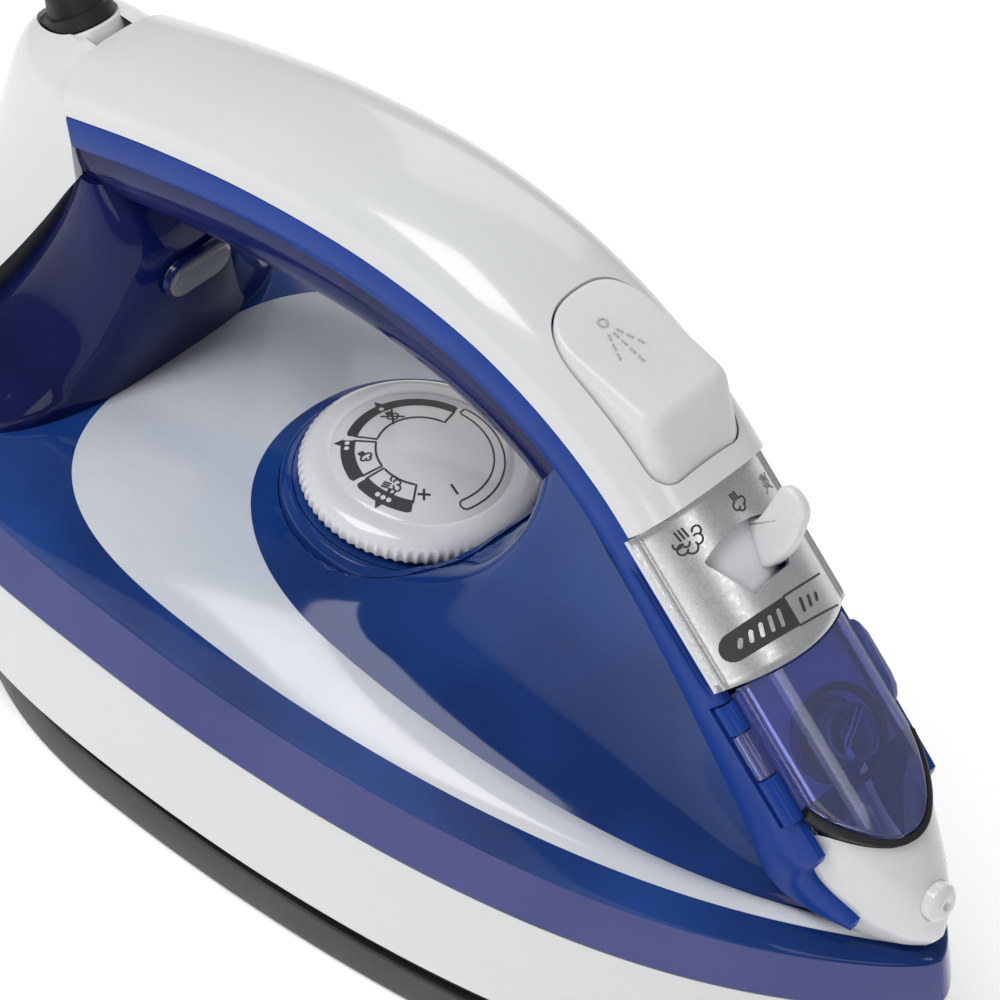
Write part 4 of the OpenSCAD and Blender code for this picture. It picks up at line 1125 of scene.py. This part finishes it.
marks, worn = [], []
for s, y, size, big in ((4.9, -10.2, 1.0, True), (4.2, 3.4, 0.8, False)):
    for stroke in cloud(big):
        marks += ribbon(turn(stroke, 90, s, y, size), 0.4 if big else 0.36)
for stroke in cloud(False):
    worn += ribbon(turn(stroke, 90, 4.6, 14.0, 0.55), 0.3)
worn += ribbon([(3.0, 12.6), (6.2, 15.4)], 0.34) + ribbon([(6.2, 12.4), (3.0, 15.6)], 0.34)


def pill_edges(y):
    """The upper and the lower edge of the level pill, which bends with the panel."""
    return 23.15 + 0.0036 * (y + 8) ** 2, 28.9 + 0.0036 * (y + 15) ** 2


def pill_middle(y):
    return sum(pill_edges(y)) / 2


# the pill's dark half is solid and its pale half is an outline
PILL_END = -12.6
ys = [PILL_END + 13.8 * k / 16 for k in range(17)]
for a, b in zip(ys, ys[1:]):
    marks.append([(pill_edges(a)[0], a), (pill_edges(b)[0], b), (pill_edges(b)[1], b),
        (pill_edges(a)[1], a)])
top, bottom = pill_edges(PILL_END)
cap_mid, cap_r = (top + bottom) / 2, (bottom - top) / 2
marks.append([(cap_mid + cap_r * cosd(a), PILL_END - 2.7 * sind(a)) for a in range(0, 181, 10)])
ys = [1.2 + 12.6 * k / 14 for k in range(15)]
for q in (0, 1):
    marks += ribbon([(pill_edges(y)[q], y) for y in ys], 0.42)
# generic level bars
bars = []
for k in range(5):
    y, h = -11.4 + 2.35 * k, 1.0 + 0.42 * k
    mid = pill_middle(y)
    bars += ribbon([(mid + h / 2, y - 0.3), (mid - h / 2, y + 0.3)], 0.95)
for k in range(3):
    y = 4.2 + 2.3 * k
    mid = pill_middle(y)
    marks += ribbon([(mid + 1.1 - 0.3 * k, y - 0.3), (mid - 1.1 + 0.3 * k, y + 0.3)], 0.8)
ink("panel_print", marks, panel_top, "housing", INK)
ink("panel_worn_mark", worn, panel_top, "housing", FAINT)
ink("panel_bars", bars, panel_top, "housing", SILVER, lift=0.07)


def lid_top(s, y, h):
    return on_slope(s, y, crown_h(y, 7.2) - 1.62 - h)


tap = ribbon([(54.2, -3.2), (53.2, -2.2), (49.0, 4.6)], 0.36)
tap += ribbon([(54.9, -2.6), (53.9, -1.5), (50.4, 4.9)], 0.30) + ribbon([(54.2, -3.2), (54.9, -2.6)], 0.4)
drop = [(56.2 + 0.9 * cosd(a) * (1 if cosd(a) > 0 else 1.7), -3.0 + 0.85 * sind(a))
        for a in range(0, 360, 20)]
ink("lid_mark", tap + [drop], lid_top, "filler_lid", MARK, lift=0.05)

# ------------------------------------------------------------------ spray button
KEY_SLOPE = 10.7
KEY_CROWN = 52


def key_z(x, y):
    """Height of the key's crowned top, which falls towards the front."""
    crown = (math.sqrt(KEY_CROWN ** 2 - y * y) - KEY_CROWN) / cosd(KEY_SLOPE)
    return 151 - (x - 15.5) * math.tan(math.radians(KEY_SLOPE)) + crown


def key_lean(x, z):
    """The front end leans back above the cover: x of a plan point at height z."""
    lean = max(0, z - 132.3) * math.tan(math.radians(24.4))
    return x - lean * min(1, max(0, (x - 34) / 17.4))


lv = []
base = button_plan(0)
for z in (127.6, 132.3, 136, 140):
    lv.append([(key_lean(x, z), y, z) for x, y in base])
inward = offset_loop(base, 1.0)
for k in range(1, 11):
    ring = []
    for (x, y), (xi, yi) in zip(base, inward):
        r = 0.8 + 1.8 * min(1, max(0, (x - 17) / 14))
        d = 0.8 * r * (1 - cosd(9 * k))
        x, y = x + (xi - x) * d, y + (yi - y) * d
        z = key_z(key_lean(x, 145), y) - r * (1 - sind(9 * k))
        ring.append((key_lean(x, z), y, z))
    lv.append(ring)
mid_x = sum(p[0] for p in lv[-1]) / len(base)
last = lv[-1]
for t in (0.75, 0.5, 0.25, 0.06):
    ring = [(mid_x + (p[0] - mid_x) * t, p[1] * t) for p in last]
    lv.append([(x, y, key_z(x, y)) for x, y in ring])
stack_loft("spray_key_cap", lv, MILK, body="spray_key", rep=("spray_button",), sharp=60)


def key_top(x, y, h):
    return (x + h * sind(KEY_SLOPE), y, key_z(x, y) + h)


# a fan of spray drops: rows of short dashes spreading from a nozzle ring
spray = ribbon(arc_pts(0.95, 0, 360, step=20)[:-1], 0.45, True)
for a, count in ((-24, 3), (0, 4), (22, 3)):
    for k in range(count):
        r = 2.9 + 2.2 * k
        spray += ribbon([polar(r, a), polar(r + 1.1, a)], 0.5)
KEY_AT = (24.1, -1.7)
ink("spray_mark", [turn(p, 0, *KEY_AT) for p in spray], key_top, "spray_key", MILK, lift=0.05,
    thick=0.12, cell=2.5)
revolve("pump_plunger", rounded([(0, 112), (3, 112), (3, 133), (6, 133), (6, 134.6), (3, 134.6),
    (3, 143), (0, 143)], 0.2), WHITE, centre=(PUMP_X, 0, 0), body="spray_key", rep=("pump_piston",), n=64)

# ------------------------------------------------------------------ indicator lens on the rear stem
def oval(x, r):
    """An upright oval across the iron: two half circles, set apart."""
    return [(x, (4.5 if abs(a) <= 90 else -4.5) + r * cosd(a), 88 + r * sind(a)) for a in range(-180,
        180, 6)]


lens = [oval(x, 4 + g) for x, g in ((-83, 0), (-78.2, 0), (-77.7, -0.25), (-77.45, -0.9))]
stack_loft("indicator_window", lens, CLEAR, rep=("indicator_lens",), sharp=50)
rim = ((-79.6, 4.1), (-78.5, 4.1), (-78.3, 4.35), (-78.3, 4.8), (-78.7, 5.0), (-79.6, 5.0))
ring_loft("indicator_rim", [oval(x, r) for x, r in rim], STEM, slot="blue_clear", sharp=50)

# ------------------------------------------------------------------ moulded ribs and drops of water inside the tank
def tank_rib(a0, a1, r0=38, r1=44, z0=44, z1=58):
    """A wall inside the tank, bent about the dial."""
    corners = ((r0, z0), (r1, z0), (r1, z1 - 0.5), (r1 - 0.5, z1), (r0 + 0.5, z1), (r0, z1 - 0.5))
    walls = [[(*polar(r, a, DIAL_X), z) for r, z in corners] for a in steps(a0, a1, 40)]
    stack_loft("tank_rib", walls, FLOOR_LILAC, slot="blue_clear", sharp=50)


for s in (-1, 1):
    tank_rib(s * -105, s * -70)
# drops of water under the window, more of them at the back
DROP_RINGS = ((1.0, 0.0), (0.92, -0.38), (0.7, -0.72), (0.35, -0.94))
verts, faces = [], []
for i in range(90):
    k = random.randrange(N)
    if random.random() < 0.6:
        k = int((0.62 + 0.16 * random.random()) * N)
    p = window_at(random.uniform(0.15, 0.95))[k]
    r = random.uniform(0.25, 0.8)
    levels = [[(*polar(r * w, 36 * j, p[0], p[1]), p[2] - 2.05 + r * 0.7 * z) for j in range(10)]
              for w, z in DROP_RINGS]
    v, f = grid(levels)
    f += [tuple(range(10)), tuple(range(30, 40))]
    faces += [tuple(len(verts) + j for j in face) for face in f]
    verts += v
build("tank_drops", verts, faces, DROPLET, slot="clear", sharp=60)

# ------------------------------------------------------------------ floor, light, camera
bpy.ops.mesh.primitive_plane_add(size=6, location=(0, 0, -0.0002))
floor = bpy.context.object
floor.name = "studio_floor"
FLOOR = mat("studio_floor", (0.97, 0.97, 0.975), 0.9, spec=0.0, emit=((1, 1, 1), 0.35))
vary_color(FLOOR, (0.965, 0.965, 0.97), (0.975, 0.975, 0.98), 3.0)
floor.data.materials.append(FLOOR)

world = bpy.data.worlds.new("studio")
bpy.context.scene.world = world
world.use_nodes = True
bg = world.node_tree.nodes["Background"]
bg.inputs["Color"].default_value = (1, 1, 1, 1)
bg.inputs["Strength"].default_value = 0.32


def area(name, loc, target, size, power, size_y=None):
    d = bpy.data.lights.new(name, "AREA")
    d.energy, d.size = power, size
    if size_y:
        d.shape, d.size_y = "RECTANGLE", size_y
    o = bpy.data.objects.new(name, d)
    o.location = loc
    o.rotation_euler = (Vector(target) - Vector(loc)).to_track_quat("-Z", "Y").to_euler()
    bpy.context.scene.collection.objects.link(o)


area("softbox_top", (-0.30, -0.45, 1.15), (0.0, 0, 0.08), 0.55, 8.0, size_y=0.7)
area("softbox_front", (1.1, -0.9, 0.7), (0.03, 0, 0.08), 0.6, 2.2)
area("softbox_tip", (0.86, 0.06, 0.93), (0.07, 0, 0.10), 0.16, 0.6, size_y=0.34)
area("softbox_back", (-0.6, 1.1, 0.9), (0.0, 0, 0.09), 0.8, 2.6)

cam_d = bpy.data.cameras.new("camera")
cam_d.lens, cam_d.sensor_width = 210.63, 36
cam_d.clip_start, cam_d.clip_end = 0.05, 20
cam = bpy.data.objects.new("camera", cam_d)
bpy.context.scene.collection.objects.link(cam)
Fv, Rv, Uv = Vector((-0.4241, 0.5569, -0.7142)), Vector((0.7289, 0.6779, 0.0957)), Vector((-0.5374,
    0.4800, 0.6934))
f2 = (Fv + 0.0084 * Rv - 0.00266 * Uv).normalized()
r2 = (Rv - f2 * Rv.dot(f2)).normalized()
u2 = r2.cross(f2)
cam.matrix_world = Matrix(((r2.x, u2.x, -f2.x, 0.4852), (r2.y, u2.y, -f2.y, -0.6470),
    (r2.z, u2.z, -f2.z, 0.9097), (0, 0, 0, 1)))
bpy.context.scene.camera = cam
bpy.context.scene.view_settings.view_transform = "Standard"
bpy.context.scene.cycles.max_bounces = 16
bpy.context.scene.cycles.transmission_bounces = 12
bpy.context.scene.cycles.transparent_max_bounces = 12
